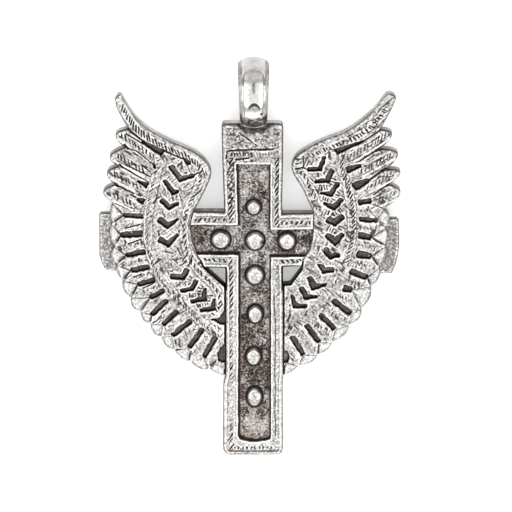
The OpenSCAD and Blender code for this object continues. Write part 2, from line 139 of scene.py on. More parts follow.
# Each wing: leading edge from the tip down, inner edge over the arm, lower end at the upright, outer
# edge of the tip. Feathers from the lower end up: tip x, tip y, next notch x, next notch y.
# Petal lines: boldness of the lines beside each petal, from the lower end up.
# Strokes on each band: slant, shares of its length between which they are deep, share of its width.
# Slots from the shoulder down: inner x, inner y, outer x, outer y, inner and outer width as shares.
# Chevrons: left end, vertex, right end, and the widths there as shares. Combs: depth under each chevron.
# Lines: from, to, width in millimetres, darkness.
LEFT_WING = {
    "side": -1,
    "bold": 0.8,
    "lead": (
        (-23.0, 25.6), (-22.1, 24.0), (-20.4, 21.5), (-18.0, 19.4), (-14.5, 17.5),
        (-11.0, 16.0), (-8.5, 14.3), (-7.3, 12.1), (-7.9, 9.9), (-9.4, 6.9), (-10.4, 5.3),
    ),
    "inner": ((-11.0, 3.0), (-10.5, -0.2), (-9.8, -2.2), (-8.4, -4.6), (-4.6, -8.0)),
    "end": (-4.6, -23.5),
    "tip": ((-22.6, 20.9), (-23.8, 23.2), (-24.1, 24.7), (-23.6, 25.5)),
    "petal_lines": (0.1, 0.2, 0.15, 0.15, 0.25, 0.9, 0.7, 1.0, 1.0, 0.9, 1.0, 0.9),
    "strokes": {
        "lead": (1.0, 0.03, 0.95, 0.8), "middle": (1.4, 0.0, 1.0, 0.4), "inner": (1.35, 0.0, 1.0, 0.5),
    },
    "pockets": (
        ((-12.2, 14.6), (-11.5, 14.4), (-10.8, 13.9), (-10.9, 13.5), (-11.5, 13.3)),
        ((-7.2, -13.6), (-5.8, -13.3), (-5.0, -12.1), (-4.2, -12.1), (-4.2, -14.5), (-5.6, -14.5)),
        ((-5.1, -18.0), (-4.2, -18.3), (-4.2, -20.8), (-5.4, -21.2), (-6.0, -20.8), (-6.1, -19.6),
         (-5.6, -18.7)),
    ),
    "feathers": (
        (-6.2, -23.2, -7.7, -22.3),
        (-9.2, -22.4, -11.0, -21.1),
        (-12.5, -20.5, -13.8, -19.0),
        (-15.2, -18.4, -16.1, -16.7),
        (-17.4, -16.1, -18.0, -14.4),
        (-19.2, -13.9, -19.7, -12.3),
        (-21.1, -11.5, -21.4, -9.9),
        (-22.7, -8.5, -22.8, -6.8),
        (-23.8, -5.5, -23.9, -4.0),
        (-24.9, -2.5, -24.3, -0.9),
        (-25.1, 1.1, -24.8, 3.1),
        (-25.0, 5.0, -24.5, 6.7),
        (-26.2, 8.5, -24.2, 9.9),
        (-25.5, 11.9, -23.5, 13.1),
        (-25.0, 14.8, -22.4, 16.4),
        (-24.0, 18.5, -21.8, 19.6),
    ),
    "slots": (
        (-15.7, 15.5, -19.4, 17.5, 1.4, 0.5),
        (-17.2, 12.8, -17.3, 13.5, 0.5, 0.45),
        (-18.4, 9.75, -20.2, 10.6, 1.25, 0.35),
        (-19.0, 6.9, -20.3, 7.5, 1.2, 0.5),
        (-19.3, 4.4, -22.6, 4.6, 1.0, 0.9),
        (-19.3, 1.4, -23.1, 1.1, 1.3, 1.1),
        (-18.9, -1.8, -22.2, -2.4, 1.1, 1.0),
        (-18.2, -4.4, -21.4, -5.1, 1.2, 1.05),
        (-17.2, -6.7, -20.1, -7.5, 1.15, 1.0),
        (-15.6, -8.6, -18.0, -9.8, 1.0, 1.0),
        (-15.1, -10.2, -17.7, -12.8, 1.0, 0.9),
        (-13.1, -12.1, -15.8, -14.6, 1.0, 0.9),
        (-10.9, -13.8, -14.2, -16.6, 1.0, 0.9),
        (-8.7, -15.2, -11.2, -18.6, 1.0, 0.9),
        (-6.5, -16.6, -8.6, -20.3, 1.0, 0.9),
        (-5.3, -18.4, -5.5, -20.8, 0.9, 1.2),
    ),
    "chevrons": (
        (-14.5, 13.3, -12.7, 10.9, -10.3, 11.6, 1.05, 1.1, 0.65),
        (-15.6, 10.7, -13.9, 8.6, -13.0, 8.9, 0.65, 1.1, 0.4),
        (-16.1, 7.4, -14.7, 6.0, -13.0, 6.8, 0.95, 1.05, 0.5),
        (-16.5, 4.0, -14.9, 2.8, -13.1, 4.0, 1.2, 1.15, 0.45),
        (-16.4, 0.5, -14.9, -0.4, -13.1, 1.3, 1.2, 1.2, 0.5),
        (-14.4, -6.05, -12.3, -6.25, -11.4, -4.8, 1.15, 0.95, 1.05),
        (-12.7, -8.6, -10.7, -8.3, -9.9, -6.7, 0.8, 0.8, 1.05),
        (-10.8, -10.5, -8.6, -9.9, -8.4, -8.2, 0.8, 1.1, 0.55),
        (-9.3, -12.1, -7.0, -11.6, -6.8, -9.9, 0.9, 1.05, 0.55),
    ),
    "combs": (0.35, 0.35, 0.35, 0.35, 0.0, 0.6, 0.8, 1.0),
    "lines": (
        (-21.9, 19.8, -20.8, 18.8, 0.35, 1.2),
        (-20.9, 18.9, -19.1, 17.5, 0.25, 1.2),
        (-22.2, 18.9, -20.2, 17.7, 0.2, 0.9),
        (-20.2, 17.7, -19.1, 17.0, 0.16, 0.9),
        (-22.6, 17.0, -21.7, 16.2, 0.5, 1.2),
        (-21.9, 16.4, -20.2, 15.8, 0.2, 1.0),
        (-20.2, 15.8, -17.3, 13.4, 0.2, 1.0),
        (-23.4, 13.6, -22.7, 12.9, 0.45, 1.2),
        (-23.0, 13.2, -18.2, 10.4, 0.22, 1.1),
        (-22.2, 13.5, -18.0, 11.4, 0.16, 0.9),
        (-19.4, 13.4, -17.9, 12.2, 0.2, 1.0),
        (-24.4, 10.3, -23.5, 9.6, 0.45, 1.2),
        (-23.6, 9.8, -20.8, 8.4, 0.2, 1.0),
        (-21.4, 8.3, -20.4, 7.7, 0.25, 1.1),
        (-24.2, 6.8, -21.6, 5.6, 0.14, 0.7),
        (-15.6, 15.9, -12.2, 14.5, 0.3, 1.2),
        (-6.7, -11.7, -6.3, -12.2, 0.2, 1.0),
        (-6.3, -11.3, -5.9, -11.9, 0.2, 1.0),
        (-7.2, -12.4, -6.8, -12.9, 0.2, 1.0),
        (-10.3, 11.7, -8.8, 12.4, 0.2, 0.9),
        (-22.2, 2.4, -19.6, 3.1, 0.2, 0.7),
        (-21.9, -0.4, -19.5, 0.5, 0.22, 0.9),
        (-20.9, -6.2, -19.4, -5.6, 0.2, 0.8),
        (-19.3, -8.1, -17.6, -7.4, 0.2, 0.8),
        (-15.3, -1.7, -13.9, -2.0, 0.22, 0.5),
        (-13.3, -1.0, -12.6, -2.4, 0.16, 0.6),
        (-12.4, -3.3, -11.6, -2.3, 0.2, 0.7),
        (-14.0, -3.0, -13.2, -3.7, 0.16, 0.6),
        (-12.8, -4.2, -12.1, -3.8, 0.16, 0.6),
        (-10.6, -2.4, -11.2, -4.0, 0.2, 0.9),
        (-11.2, -20.7, -10.9, -19.1, 0.18, 0.8),
        (-13.5, -19.0, -12.6, -18.8, 0.24, 0.9),
    ),
    "fingers": (
        ((-23.3, 18.6), (-17.4, 14.6)),
        ((-24.0, 15.0), (-18.6, 11.9)),
        ((-24.6, 11.8), (-19.6, 9.2)),
        ((-25.3, 8.4), (-20.6, 6.2)),
    ),
    "ropes": {
        "lead": (
            (-22.9, 23.9), (-21.9, 22.0), (-20.3, 19.8), (-17.8, 17.8), (-14.5, 16.1),
            (-11.4, 14.8), (-9.5, 13.3), (-8.7, 11.6),
        ),
        "middle": (
            (-16.3, 14.4), (-17.1, 10.8), (-18.0, 6.5), (-18.4, 2.8), (-18.1, -1.0),
            (-16.8, -5.0), (-14.6, -8.3), (-11.0, -12.1), (-8.0, -14.8), (-5.6, -16.3),
        ),
        "inner": (
            (-9.1, 11.2), (-10.0, 8.8), (-11.2, 6.3), (-12.0, 3.6), (-12.0, 0.4), (-11.2, -2.5),
            (-9.6, -5.0), (-7.4, -7.1), (-5.9, -9.4), (-5.7, -12.0),
        ),
    },
}
RIGHT_WING = {
    "side": 1,
    "bold": 1.0,
    "lead": (
        (23.8, 25.8), (23.0, 25.4), (21.3, 23.2), (18.9, 21.0), (16.1, 19.1),
        (12.6, 17.8), (9.6, 16.3), (7.4, 14.7), (6.8, 12.4), (8.7, 9.0), (10.6, 4.9),
    ),
    "inner": (
        (10.5, 2.1), (10.3, 0.3), (9.9, -1.4), (8.7, -3.2), (8.4, -4.9), (6.5, -7.4), (4.8, -7.6),
    ),
    "end": (4.8, -23.6),
    "tip": ((23.4, 21.5), (24.6, 23.8), (25.0, 24.9), (24.6, 25.5)),
    "petal_lines": (0.8, 0.3, 0.3, 0.3, 0.35, 0.45, 0.9, 1.0, 0.8, 0.4),
    "strokes": {
        "lead": (0.15, 0.1, 0.8, 0.7), "middle": (1.1, 0.05, 0.5, 0.6), "inner": (1.1, 0.0, 0.19, 0.65),
    },
    "pockets": (
        ((4.4, -19.4), (5.8, -19.1), (6.3, -19.9), (6.3, -20.6), (5.6, -21.3), (4.4, -21.3)),
    ),
    "feathers": (
        (6.5, -23.0, 8.0, -21.8),
        (10.1, -21.3, 11.3, -19.9),
        (13.2, -18.9, 13.8, -17.7),
        (16.1, -16.4, 16.8, -14.7),
        (18.7, -13.4, 18.9, -11.8),
        (20.5, -9.9, 20.6, -7.9),
        (22.0, -6.5, 22.2, -4.5),
        (23.3, -2.6, 23.3, -0.8),
        (23.6, 0.8, 23.3, 2.3),
        (23.9, 4.2, 22.9, 5.7),
        (25.77, 8.3, 23.8, 9.9),
        (25.77, 12.0, 23.3, 12.6),
        (25.3, 15.3, 22.1, 16.1),
        (24.3, 18.6, 22.2, 19.5),
    ),
    "slots": (
        (14.4, 15.6, 19.2, 17.5, 1.3, 0.25),
        (16.4, 12.5, 18.9, 13.3, 1.25, 0.75),
        (17.6, 9.5, 20.2, 10.7, 1.8, 0.8),
        (18.4, 6.8, 20.7, 7.2, 1.15, 0.95),
        (18.6, 3.9, 21.7, 3.7, 1.05, 0.85),
        (18.4, 1.1, 20.7, 0.7, 1.3, 1.2),
        (18.2, -2.1, 20.7, -2.6, 1.5, 1.2),
        (17.0, -5.1, 20.0, -6.3, 1.3, 1.1),
        (15.8, -8.1, 17.3, -8.5, 1.3, 1.1),
        (14.0, -10.3, 17.2, -12.7, 1.1, 1.0),
        (11.7, -12.8, 14.4, -15.4, 1.0, 0.9),
        (9.3, -14.5, 11.6, -17.7, 1.0, 0.9),
        (6.8, -16.6, 8.9, -19.9, 1.0, 0.9),
        (5.7, -19.5, 5.8, -21.2, 0.7, 1.0),
    ),
    "chevrons": (
        (9.6, 12.6, 11.7, 12.7, 12.5, 14.8, 0.75, 0.85, 0.7),
        (10.8, 10.5, 13.0, 10.75, 13.9, 12.6, 0.7, 0.95, 1.0),
        (11.7, 8.5, 13.6, 8.3, 14.9, 10.3, 0.4, 1.0, 0.8),
        (12.3, 6.7, 14.1, 6.0, 15.7, 7.5, 0.5, 1.05, 0.9),
        (13.0, 4.0, 14.3, 3.3, 15.8, 4.5, 1.35, 1.3, 1.2),
        (12.85, 1.3, 14.35, 0.0, 15.75, 1.4, 1.1, 1.4, 0.95),
        (12.45, -1.2, 13.6, -2.5, 15.2, -2.3, 1.35, 1.05, 0.9),
        (11.5, -3.5, 12.4, -5.1, 14.1, -4.8, 0.75, 1.1, 1.15),
        (9.8, -6.1, 10.7, -7.9, 12.8, -7.5, 1.0, 1.3, 0.55),
        (8.4, -8.0, 9.3, -9.7, 11.3, -9.6, 0.95, 1.0, 0.7),
        (6.75, -9.2, 7.35, -11.2, 9.5, -11.3, 0.55, 1.0, 0.7),
    ),
    "combs": (0.35, 1.0, 1.0, 1.0, 0.9, 0.35, 0.35, 0.35, 0.35, 0.35),
    "lines": (
        (7.4, 12.7, 8.8, 13.0, 0.28, 1.1),
        (7.4, 13.6, 8.4, 13.8, 0.18, 0.8),
        (7.6, 14.4, 8.6, 14.5, 0.18, 0.8),
        (8.8, 15.0, 8.8, 13.1, 0.16, 0.7),
        (8.8, 13.0, 9.5, 12.6, 0.2, 0.9),
        (22.3, 19.5, 18.2, 16.9, 0.25, 1.0),
        (22.6, 16.4, 21.3, 15.8, 0.6, 1.2),
        (21.6, 16.0, 18.3, 13.9, 0.22, 1.0),
        (23.4, 12.8, 22.6, 12.4, 0.5, 1.2),
        (22.9, 12.6, 20.3, 10.8, 0.4, 1.2),
        (24.0, 10.1, 23.2, 9.8, 0.45, 1.2),
        (23.4, 9.9, 21.0, 8.2, 0.22, 1.0),
        (22.7, 5.9, 20.9, 6.6, 0.16, 0.8),
        (11.5, -18.1, 11.4, -19.6, 0.2, 0.8),
    ),
    "fingers": (
        ((23.6, 18.7), (17.0, 14.6)),
        ((24.5, 15.3), (18.6, 12.0)),
        ((25.0, 12.0), (19.8, 9.2)),
        ((25.1, 8.4), (20.2, 6.2)),
    ),
    "ropes": {
        "lead": (
            (24.0, 24.4), (22.6, 22.3), (20.6, 20.0), (17.4, 18.0), (13.7, 16.6), (10.7, 15.3),
            (8.9, 13.9), (8.1, 12.8),
        ),
        "middle": (
            (14.7, 14.7), (16.1, 10.6), (17.1, 6.5), (17.3, 2.2), (16.6, -1.8),
            (15.2, -5.2), (12.6, -9.3), (9.0, -12.8), (6.4, -15.4),
        ),
        "inner": (
            (8.1, 12.5), (9.2, 11.2), (10.1, 9.4), (10.9, 7.4), (11.5, 4.8), (11.7, 1.2), (11.1, -1.6),
            (9.9, -3.9), (8.3, -6.0), (6.8, -7.9), (5.8, -9.6),
        ),
    },
}
# Hatched bands: half width, rise, and the strokes' spacing, width, depth and darkness, then the
# darkness of the rim, the sideways shift, and whether the wing's own boldness counts
ROPES = {
    "lead": {"half": 0.8, "rise": 0.1, "pitch": 0.64, "width": 0.13,
             "depth": 0.24, "shade": 1.5, "rim": 0.3, "shift": 0.0, "soft": False},
    "middle": {"half": 0.85, "rise": 0.14, "pitch": 0.66, "width": 0.13,
               "depth": 0.18, "shade": 1.4, "rim": 0.2, "shift": 0.25, "soft": True},
    "inner": {"half": 0.75, "rise": 0.12, "pitch": 0.98, "width": 0.14,
              "depth": 0.18, "shade": 1.4, "rim": 0.12, "shift": 0.0, "soft": False},
}
# Cuts in the head: from, to, width in millimetres, darkness
HEAD_LINES = (
    (-4.2, 16.0, 0.2, 16.2, 0.3, 1.0),
    (0.2, 16.2, 3.6, 16.25, 0.3, 1.0),
    (-3.1, 14.4, -0.6, 14.7, 0.35, 1.0),
    (-4.5, 16.0, -4.7, 14.6, 0.22, 1.0),
    (-2.3, 19.1, 0.5, 17.0, 0.1, 0.75),
)
# Hatching on the rims of the upright: side, middle, heights, and how deep it is cut at each
RIM_STROKES = (
    (-1, -3.85, (-38, -36, -33, -31, -25, -23, -21, -18, -13, -11),
     (0.3, 0.8, 0.7, 0.1, 0.1, 0.9, 0.9, 0.3, 0.4, 1.0)),
    (1, 4.2, (-38, -14, -6, -3, 0, 4), (0.0, 0.3, 0.35, 0.6, 0.9, 1.0)),
)
# How open and pale the sunken field is: heights, and the share at each
FIELD_OPEN = (
    (-34, -31, -28, -22, -16, -9, -4, 0, 4, 7, 12),
    (0.7, 0.6, 0.4, 0.4, 0.5, 0.55, 0.66, 0.8, 0.6, 0.68, 0.64),
)
# Soft boxes: name, place, width, height, watts, whether it is turned towards the pendant
SOFT_BOXES = (
    ("overhead_left_softbox", (-0.25, -0.02, 0.55), 0.43, 0.96, 2.3, False),
    ("overhead_right_softbox", (0.25, -0.02, 0.55), 0.43, 0.96, 2.3, False),
    ("left_softbox", (-0.8, -0.05, 0.3), 0.6, 0.4, 1.1, True),
    ("right_softbox", (0.8, -0.05, 0.3), 0.6, 0.4, 1.1, True),
    ("low_softbox", (0.0, -0.8, 0.3), 0.7, 0.42, 1.5, True),
    ("top_softbox", (0.0, 0.75, 0.35), 0.8, 0.45, 1.2, True),
)


def unit(v):
    return v / np.linalg.norm(v)


def real(points):
    """Real places, in millimetres, of drawn ones."""
    return np.array(points, float).reshape(-1, 2) * (1, LENGTH_SHARE)


def lean_angle(sizes):
    """Angle at which the bail's underside and the foot's lower edge touch one surface."""
    reach = BAIL_Y - LENGTH_SHARE * FOOT_Y
    ring = sizes.bail_radius / MM
    return math.asin(ring / math.hypot(reach, BACK_DEPTH)) - math.atan(BACK_DEPTH / reach)


def place(points, sizes):
    """Points of the lying plate in millimetres, turned into the row frame in metres."""
    lean = lean_angle(sizes)
    p = np.asarray(points, float) - (BAIL_X, BAIL_Y, 0)
    y = p[:, 1] * math.cos(lean) - p[:, 2] * math.sin(lean)
    z = p[:, 1] * math.sin(lean) + p[:, 2] * math.cos(lean)
    return np.stack([p[:, 0], y, z], axis=1) * MM


def ramp(low, high, value):
    t = np.clip((value - low) / (high - low), 0, 1)
    return t * t * (3 - 2 * t)


def bump(value, width):
    return np.exp(-(value / width) ** 2)


def grain(x, y, cell, seed):
    """Smooth noise from 0 to 1 with lumps about one cell across."""
    table = np.random.RandomState(seed).rand(64, 64)
    u = x / cell + 200
    v = y / cell + 200
    i = np.floor(u).astype(int)
    j = np.floor(v).astype(int)
    a = u - i
    b = v - j
    a = a * a * (3 - 2 * a)
    b = b * b * (3 - 2 * b)
    n = table.shape[0]
    low = table[i % n, j % n] * (1 - a) + table[(i + 1) % n, j % n] * a
    high = table[i % n, (j + 1) % n] * (1 - a) + table[(i + 1) % n, (j + 1) % n] * a
    return low * (1 - b) + high * b


def spline(points, steps):
    p = np.array(points, float)
    last = len(p) - 1
    out = []
    for i in range(last):
        a, b, c, d = p[max(i - 1, 0)], p[i], p[i + 1], p[min(i + 2, last)]
        for k in range(steps):
            t = k / steps
            out.append(
                (2 * b + (c - a) * t + (2 * a - 5 * b + 4 * c - d) * t**2
                 + (3 * b - a - 3 * c + d) * t**3) / 2
            )
    out.append(p[last])
    return np.array(out)


def feather_edge(start, rows, steps):
    """Rounded ends from notch to notch, each through its tip."""
    out = []
    old = np.array(start, float)
    for row in rows:
        tip = np.array(row[:2])
        new = np.array(row[2:])
        pull = 2 * tip - (old + new) / 2
        for k in range(1, steps + 1):
            t = k / steps
            out.append(old * (1 - t) ** 2 + pull * 2 * t * (1 - t) + new * t * t)
        old = new
    return np.array(out)


def wing_outline(wing):
    return real(np.concatenate([
        spline(wing["lead"], 8),
        np.array(wing["inner"]),
        np.array([wing["end"]]),
        feather_edge(wing["end"], wing["feathers"], 14),
        np.array(wing["tip"]),
    ]))


def row_outline(rows):
    left = [(a, y) for y, a, b in rows]
    right = [(b, y) for y, a, b in reversed(rows)]
    return real(left + right)


def row_edge(rows, side, y):
    """Left or right edge of a rowed shape at drawn heights y."""
    heights = [row[0] for row in reversed(rows)]
    edges = [row[1 if side < 0 else 2] for row in reversed(rows)]
    return np.interp(y, heights, edges)


def cross_outline():
    """Upright and arms as one closed outline, down the left side and up the right."""
    sides = []
    for side, reach, top, bottom, _, _ in ARM_ROWS:
        k = 1 if side < 0 else 2
        above = [(r[k], r[0]) for r in UPRIGHT_ROWS if r[0] > top]
        below = [(r[k], r[0]) for r in UPRIGHT_ROWS if r[0] < bottom]
        arm = [
            (row_edge(UPRIGHT_ROWS, side, top), top),
            (side * reach, top),
            (side * reach, bottom),
            (row_edge(UPRIGHT_ROWS, side, bottom), bottom),
        ]
        sides.append(above + arm + below)
    return real(sides[0] + sides[1][::-1])


def outline_distance(x, y, outline):
    """Signed distance to a closed outline, negative inside, and the nearest place on it."""
    best = np.full(x.shape, np.inf)
    near_x = np.zeros(x.shape)
    near_y = np.zeros(x.shape)
    inside = np.zeros(x.shape, bool)
    for a, b in zip(outline, np.roll(outline, -1, axis=0)):
        e = b - a
        length2 = e @ e
        if length2 < 1e-12:
            continue
        t = np.clip(((x - a[0]) * e[0] + (y - a[1]) * e[1]) / length2, 0, 1)
        px = a[0] + t * e[0]
        py = a[1] + t * e[1]
        d = (x - px) ** 2 + (y - py) ** 2
        closer = d < best
        best[closer] = d[closer]
        near_x[closer] = px[closer]
        near_y[closer] = py[closer]
        if a[1] != b[1]:
            crossing = ((a[1] > y) != (b[1] > y)) & (x < e[0] * (y - a[1]) / e[1] + a[0])
            inside ^= crossing
    best = np.sqrt(best)
    return np.where(inside, -best, best), near_x, near_y


def bar_distance(x, y, start, end, width_a, width_b, past=0.0, corner=0.3):
    """Distance to the edge of a blunt bar that runs a little past its second end."""
    a, b = real(start)[0], real(end)[0]
    length = float(np.linalg.norm(b - a))
    u = (b - a) / length
    run = (x - a[0]) * u[0] + (y - a[1]) * u[1]
    off = np.abs((x - a[0]) * u[1] - (y - a[1]) * u[0])
    half = (width_a + (width_b - width_a) * np.clip(run / length, 0, 1)) / 2
    length += past
    corner = min(corner, width_a / 2, width_b / 2)
    p = np.abs(run - length / 2) - length / 2 + corner
    q = off - half + corner
    return np.hypot(np.maximum(p, 0), np.maximum(q, 0)) + np.minimum(np.maximum(p, q), 0) - corner


def local_mean(values, mask, reach):
    """Mean of the values within so many cells, over the mask alone."""
    def box(a):
        for axis in (0, 1):
            pad = [(0, 0), (0, 0)]
            pad[axis] = (reach + 1, reach)
            total = np.cumsum(np.pad(a, pad), axis=axis)
            ends = [slice(None)] * 2
            starts = [slice(None)] * 2
            ends[axis] = slice(2 * reach + 1, None)
            starts[axis] = slice(None, -2 * reach - 1)
            a = total[tuple(ends)] - total[tuple(starts)]
        return a

    weight = box(box(mask.astype(float)))
    return box(box(values * mask)) / np.maximum(weight, 1e-9)


def wear(z, mask, step):
    """How far each place stands out of its surroundings, from -1 in cuts to 1 on ridges."""
    near = z - local_mean(z, mask, max(1, round(0.2 / step)))
    far = z - local_mean(z, mask, max(1, round(0.6 / step)))
    return np.clip(near / 0.08, -1, 1) * 0.65 + np.clip(far / 0.22, -1, 1) * 0.35


def along(x, y, line):
    """Distance run along a line and distance to its left, for the nearest place on it."""
    best = np.full(x.shape, np.inf)
    run = np.zeros(x.shape)
    off = np.zeros(x.shape)
    start = 0.0
    for a, b in zip(line[:-1], line[1:]):
        e = b - a
        length = float(np.linalg.norm(e))
        t = np.clip(((x - a[0]) * e[0] + (y - a[1]) * e[1]) / length**2, 0, 1)
        dx = x - a[0] - t * e[0]
        dy = y - a[1] - t * e[1]
        d = np.hypot(dx, dy)
        closer = d < best
        best[closer] = d[closer]
        run[closer] = (start + t * length)[closer]
        side = np.sign(e[0] * dy - e[1] * dx)
        off[closer] = (side * d)[closer]
        start += length
    return run, off, start


def strokes(run, off, pitch, slant, width, reach, seed):
    """Slanting hand-cut strokes across a band, each a little different, from 0 to 1."""
    draw = np.random.RandomState(seed)
    shift = draw.uniform(-0.22, 0.22, STROKE_KINDS)
    strength = draw.uniform(0.55, 1.0, STROKE_KINDS)
    middle = draw.uniform(-0.25, 0.25, STROKE_KINDS) * reach
    half = draw.uniform(0.55, 1.0, STROKE_KINDS) * reach
    lean = draw.uniform(-0.25, 0.25, STROKE_KINDS)
    phase = (run + slant * off) / pitch + 100
    k = np.floor(phase).astype(int) % STROKE_KINDS
    gap = (phase - np.floor(phase) - 0.5 - shift[k]) * pitch + lean[k] * (off - middle[k])
    gap = (gap + 0.16 * (grain(run, off, 0.6, seed) - 0.5)) / math.hypot(1, slant)
    ends = 1 - ramp(half[k] * 0.8, half[k] * 1.05, np.abs(off - middle[k]))
    return bump(gap, width) * ends * strength[k]


def relief_grid(outline, step):
    """Square grid over an outline with its outer points drawn onto the outline, and the cells kept."""
    low = outline.min(axis=0) - 2 * step
    high = outline.max(axis=0) + 2 * step
    xs = np.arange(low[0], high[0], step)
    ys = np.arange(low[1], high[1], step)
    x, y = np.meshgrid(xs, ys, indexing="ij")
    d, near_x, near_y = outline_distance(x, y, outline)
    inner = d < 0
    cells = inner[:-1, :-1] | inner[1:, :-1] | inner[1:, 1:] | inner[:-1, 1:]
    used = np.zeros(x.shape, bool)
    for i in (0, 1):
        for j in (0, 1):
            used[i:x.shape[0] - 1 + i, j:x.shape[1] - 1 + j] |= cells
    snap = used & ~inner
    x[snap] = near_x[snap]
    y[snap] = near_y[snap]
    d[snap] = 0
    number = np.full(x.shape, -1)
    number[used] = np.arange(used.sum())
    i, j = np.nonzero(cells)
    quads = np.stack(
        [number[i, j], number[i + 1, j], number[i + 1, j + 1], number[i, j + 1]], axis=1
    )
    return x, y, -d, used, quads


def edge_loops(quads):
    """Closed loops of the edges that only one cell has, each in the cells' own direction."""
    a = quads.ravel()
    b = np.roll(quads, -1, axis=1).ravel()
    forward = set(zip(a.tolist(), b.tolist()))
    following = {}
    for p, q in forward:
        if (q, p) not in forward:
            following.setdefault(p, []).append(q)
    loops = []
    while following:
        loop = []
        here = min(following)
        while not loop or here != loop[0]:
            loop.append(here)
            choices = following[here]
            if len(choices) == 1:
                del following[here]
            here = choices.pop()
        loops.append(loop)
    return loops


def wall_strips(top, loops, back):
    """Points and faces of the walls, and the lowest ring of each, which is on the flat back."""
    verts = []
    faces = []
    rings = []
    count = len(top)
    for loop in loops:
        ring = loop
        for share in WALL_SHARES:
            low = top[loop].copy()
            low[:, 2] += (-back - low[:, 2]) * share
            verts.append(low)
            over = ring
            ring = list(range(count, count + len(loop)))
            count += len(loop)
            for k, vert in enumerate(over):
                m = (k + 1) % len(loop)
                faces.append((over[m], vert, ring[k], ring[m]))
        rings.append(ring)
    return verts, faces, rings


def back_faces(points, rings):
    """Triangles of the flat back between the lowest rings, all facing down."""
    faces = []
    flat = [[Vector((points[v][0], points[v][1], 0)) for v in ring] for ring in rings]
    order = [v for ring in rings for v in ring]
    for tri in tessellate_polygon(flat):
        a, b, c = (order[k] for k in tri)
        u = points[b] - points[a]
        w = points[c] - points[a]
        turn = u[0] * w[1] - u[1] * w[0]
        if abs(turn) >= 1e-12:
            faces.append((a, c, b) if turn > 0 else (a, b, c))
    return faces


def add_relief(name, outline, step, back, carve, walls, sizes, materials):
    """Closed plate with a flat back, a top that carve(x, y, distance from the edge) gives, and
    walls with the patina and wear that walls(x, y) gives.
    """
    x, y, edge, used, quads = relief_grid(outline, step)
    z, marks = carve(x, y, edge)
    stand = wear(z, used, step) * (0.55 + 0.9 * grain(x, y, 1.1, 5))
    # The lift, which in places is painted light, goes into the wear mark
    marks["wear"] = stand * (1 - marks.pop("calm", 0.0)) + marks.pop("lift", 0.0)
    top = np.stack([x[used], y[used], z[used]], axis=1)
    verts, strips, rings = wall_strips(top, edge_loops(quads), back)
    points = np.concatenate([top, *verts])
    bottom = back_faces(points, rings)
    grime = walls(points[len(top):, 0], points[len(top):, 1])
    none = np.zeros(len(points) - len(top))
    marks = {key: np.append(values[used], grime.get(key, none)) for key, values in marks.items()}
    piece = add_piece(name, points, quads.tolist() + strips + bottom, marks, materials, sizes)
    mesh = piece.data
    skins = [0] * len(quads) + [1] * len(strips) + [2] * len(bottom)
    last = len(materials) - 1
    mesh.polygons.foreach_set("material_index", [min(skin, last) for skin in skins])
    # The edge of the back stays sharp while everything else is shaded smooth
    sharp = {frozenset(pair) for ring in rings for pair in zip(ring, ring[1:] + ring[:1])}
    ends = np.zeros(len(mesh.edges) * 2, np.int32)
    mesh.edges.foreach_get("vertices", ends)
    layer = mesh.attributes.new("sharp_edge", "BOOLEAN", "EDGE")
    layer.data.foreach_set("value", [frozenset(pair) in sharp for pair in ends.reshape(-1, 2).tolist()])
    mesh.update()


def add_piece(name, points, faces, marks, materials, sizes):
    """Mesh with its marks as attributes, linked as a piece that stands for the cast solid."""
    mesh = bpy.data.meshes.new(name)
    mesh.from_pydata(place(points, sizes).tolist(), [], faces)
    mesh.validate()
    for key, values in marks.items():
        layer = mesh.attributes.new(key, "FLOAT", "POINT")
        layer.data.foreach_set("value", values.astype(np.float32))
    mesh.polygons.foreach_set("use_smooth", [True] * len(faces))
    for material in materials:
        mesh.materials.append(material)
    mesh.update()
    piece = link_new(bpy.context.scene, name, mesh)
    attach(piece, "root")
    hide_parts(NODE)
    return piece


class Face:
    """Top of a plate while it is carved: its places, how far in from the edge they lie, and the
    height, patina and lift that they have so far. The lift is extra shine; in places the patina is
    painted shade and the lift is painted light.
    """

    def __init__(self, x, y, edge, z):
        self.x = x
        self.y = y
        self.edge = edge
        self.z = z
        self.dark = np.zeros(x.shape)
        self.lift = np.zeros(x.shape)

    def grain(self, cell, seed):
        return grain(self.x, self.y, cell, seed)

    def stain(self, shade):
        """Makes the patina at least this dark; in a few places it is painted shade."""
        self.dark = np.maximum(self.dark, shade)

    def shine(self, share):
        """Makes the lift at least this much."""
        self.lift = np.maximum(self.lift, share)

    def cut(self, shape, depth, shade):
        """Cuts a shape that goes from 0 to 1 into the face, and darkens it."""
        self.z = self.z - depth * shape
        self.stain(shade * shape)

    def scribe(self, rows, taper, depth, shade_share, wander=0.0):
        """Cuts the rows of a table of lines."""
        for x1, y1, x2, y2, width, shade in rows:
            gap = bar_distance(self.x, self.y, (x1, y1), (x2, y2), width, width * taper)
            self.cut(ramp(0.09, -0.03, gap + wander), depth, shade * shade_share)

    def band(self, line, margin):
        """Run along a drawn line, distance to its left, its length, and where it is beside the line."""
        run, off, length = along(self.x, self.y, real(line))
        return run, off, length, (run > margin) & (run < length - margin)

    def pit(self, gap, floor, lip, shade):
        """Sinks the face to a floor, with a bright lip and a black line round the floor."""
        inside = ramp(0.04, -0.08, gap)
        self.z = self.z + lip * bump(gap - 0.24, 0.13)
        self.z = self.z * (1 - inside) + floor * inside
        self.stain(shade * inside)
        self.stain(1.25 * bump(gap + 0.05, 0.13))

    def round_edge(self, radius, shade):
        """Rounds the outer edge, with a dark band low on the rounding."""
        t = np.clip(radius - self.edge, 0, radius)
        self.z = self.z - (radius - np.sqrt(radius * radius - t * t))
        self.dark = self.dark * ramp(0.0, 0.3, self.edge)
        self.stain(shade * ramp(0.3, 0.06, self.edge))


def cast_skin(x, y, seed, depth):
    """Fine lumps of the cast surface."""
    coarse = grain(x, y, 0.55, seed) - 0.5
    fine = grain(x, y, 0.26, seed + 1) - 0.5
    return depth * (0.6 * coarse + fine)


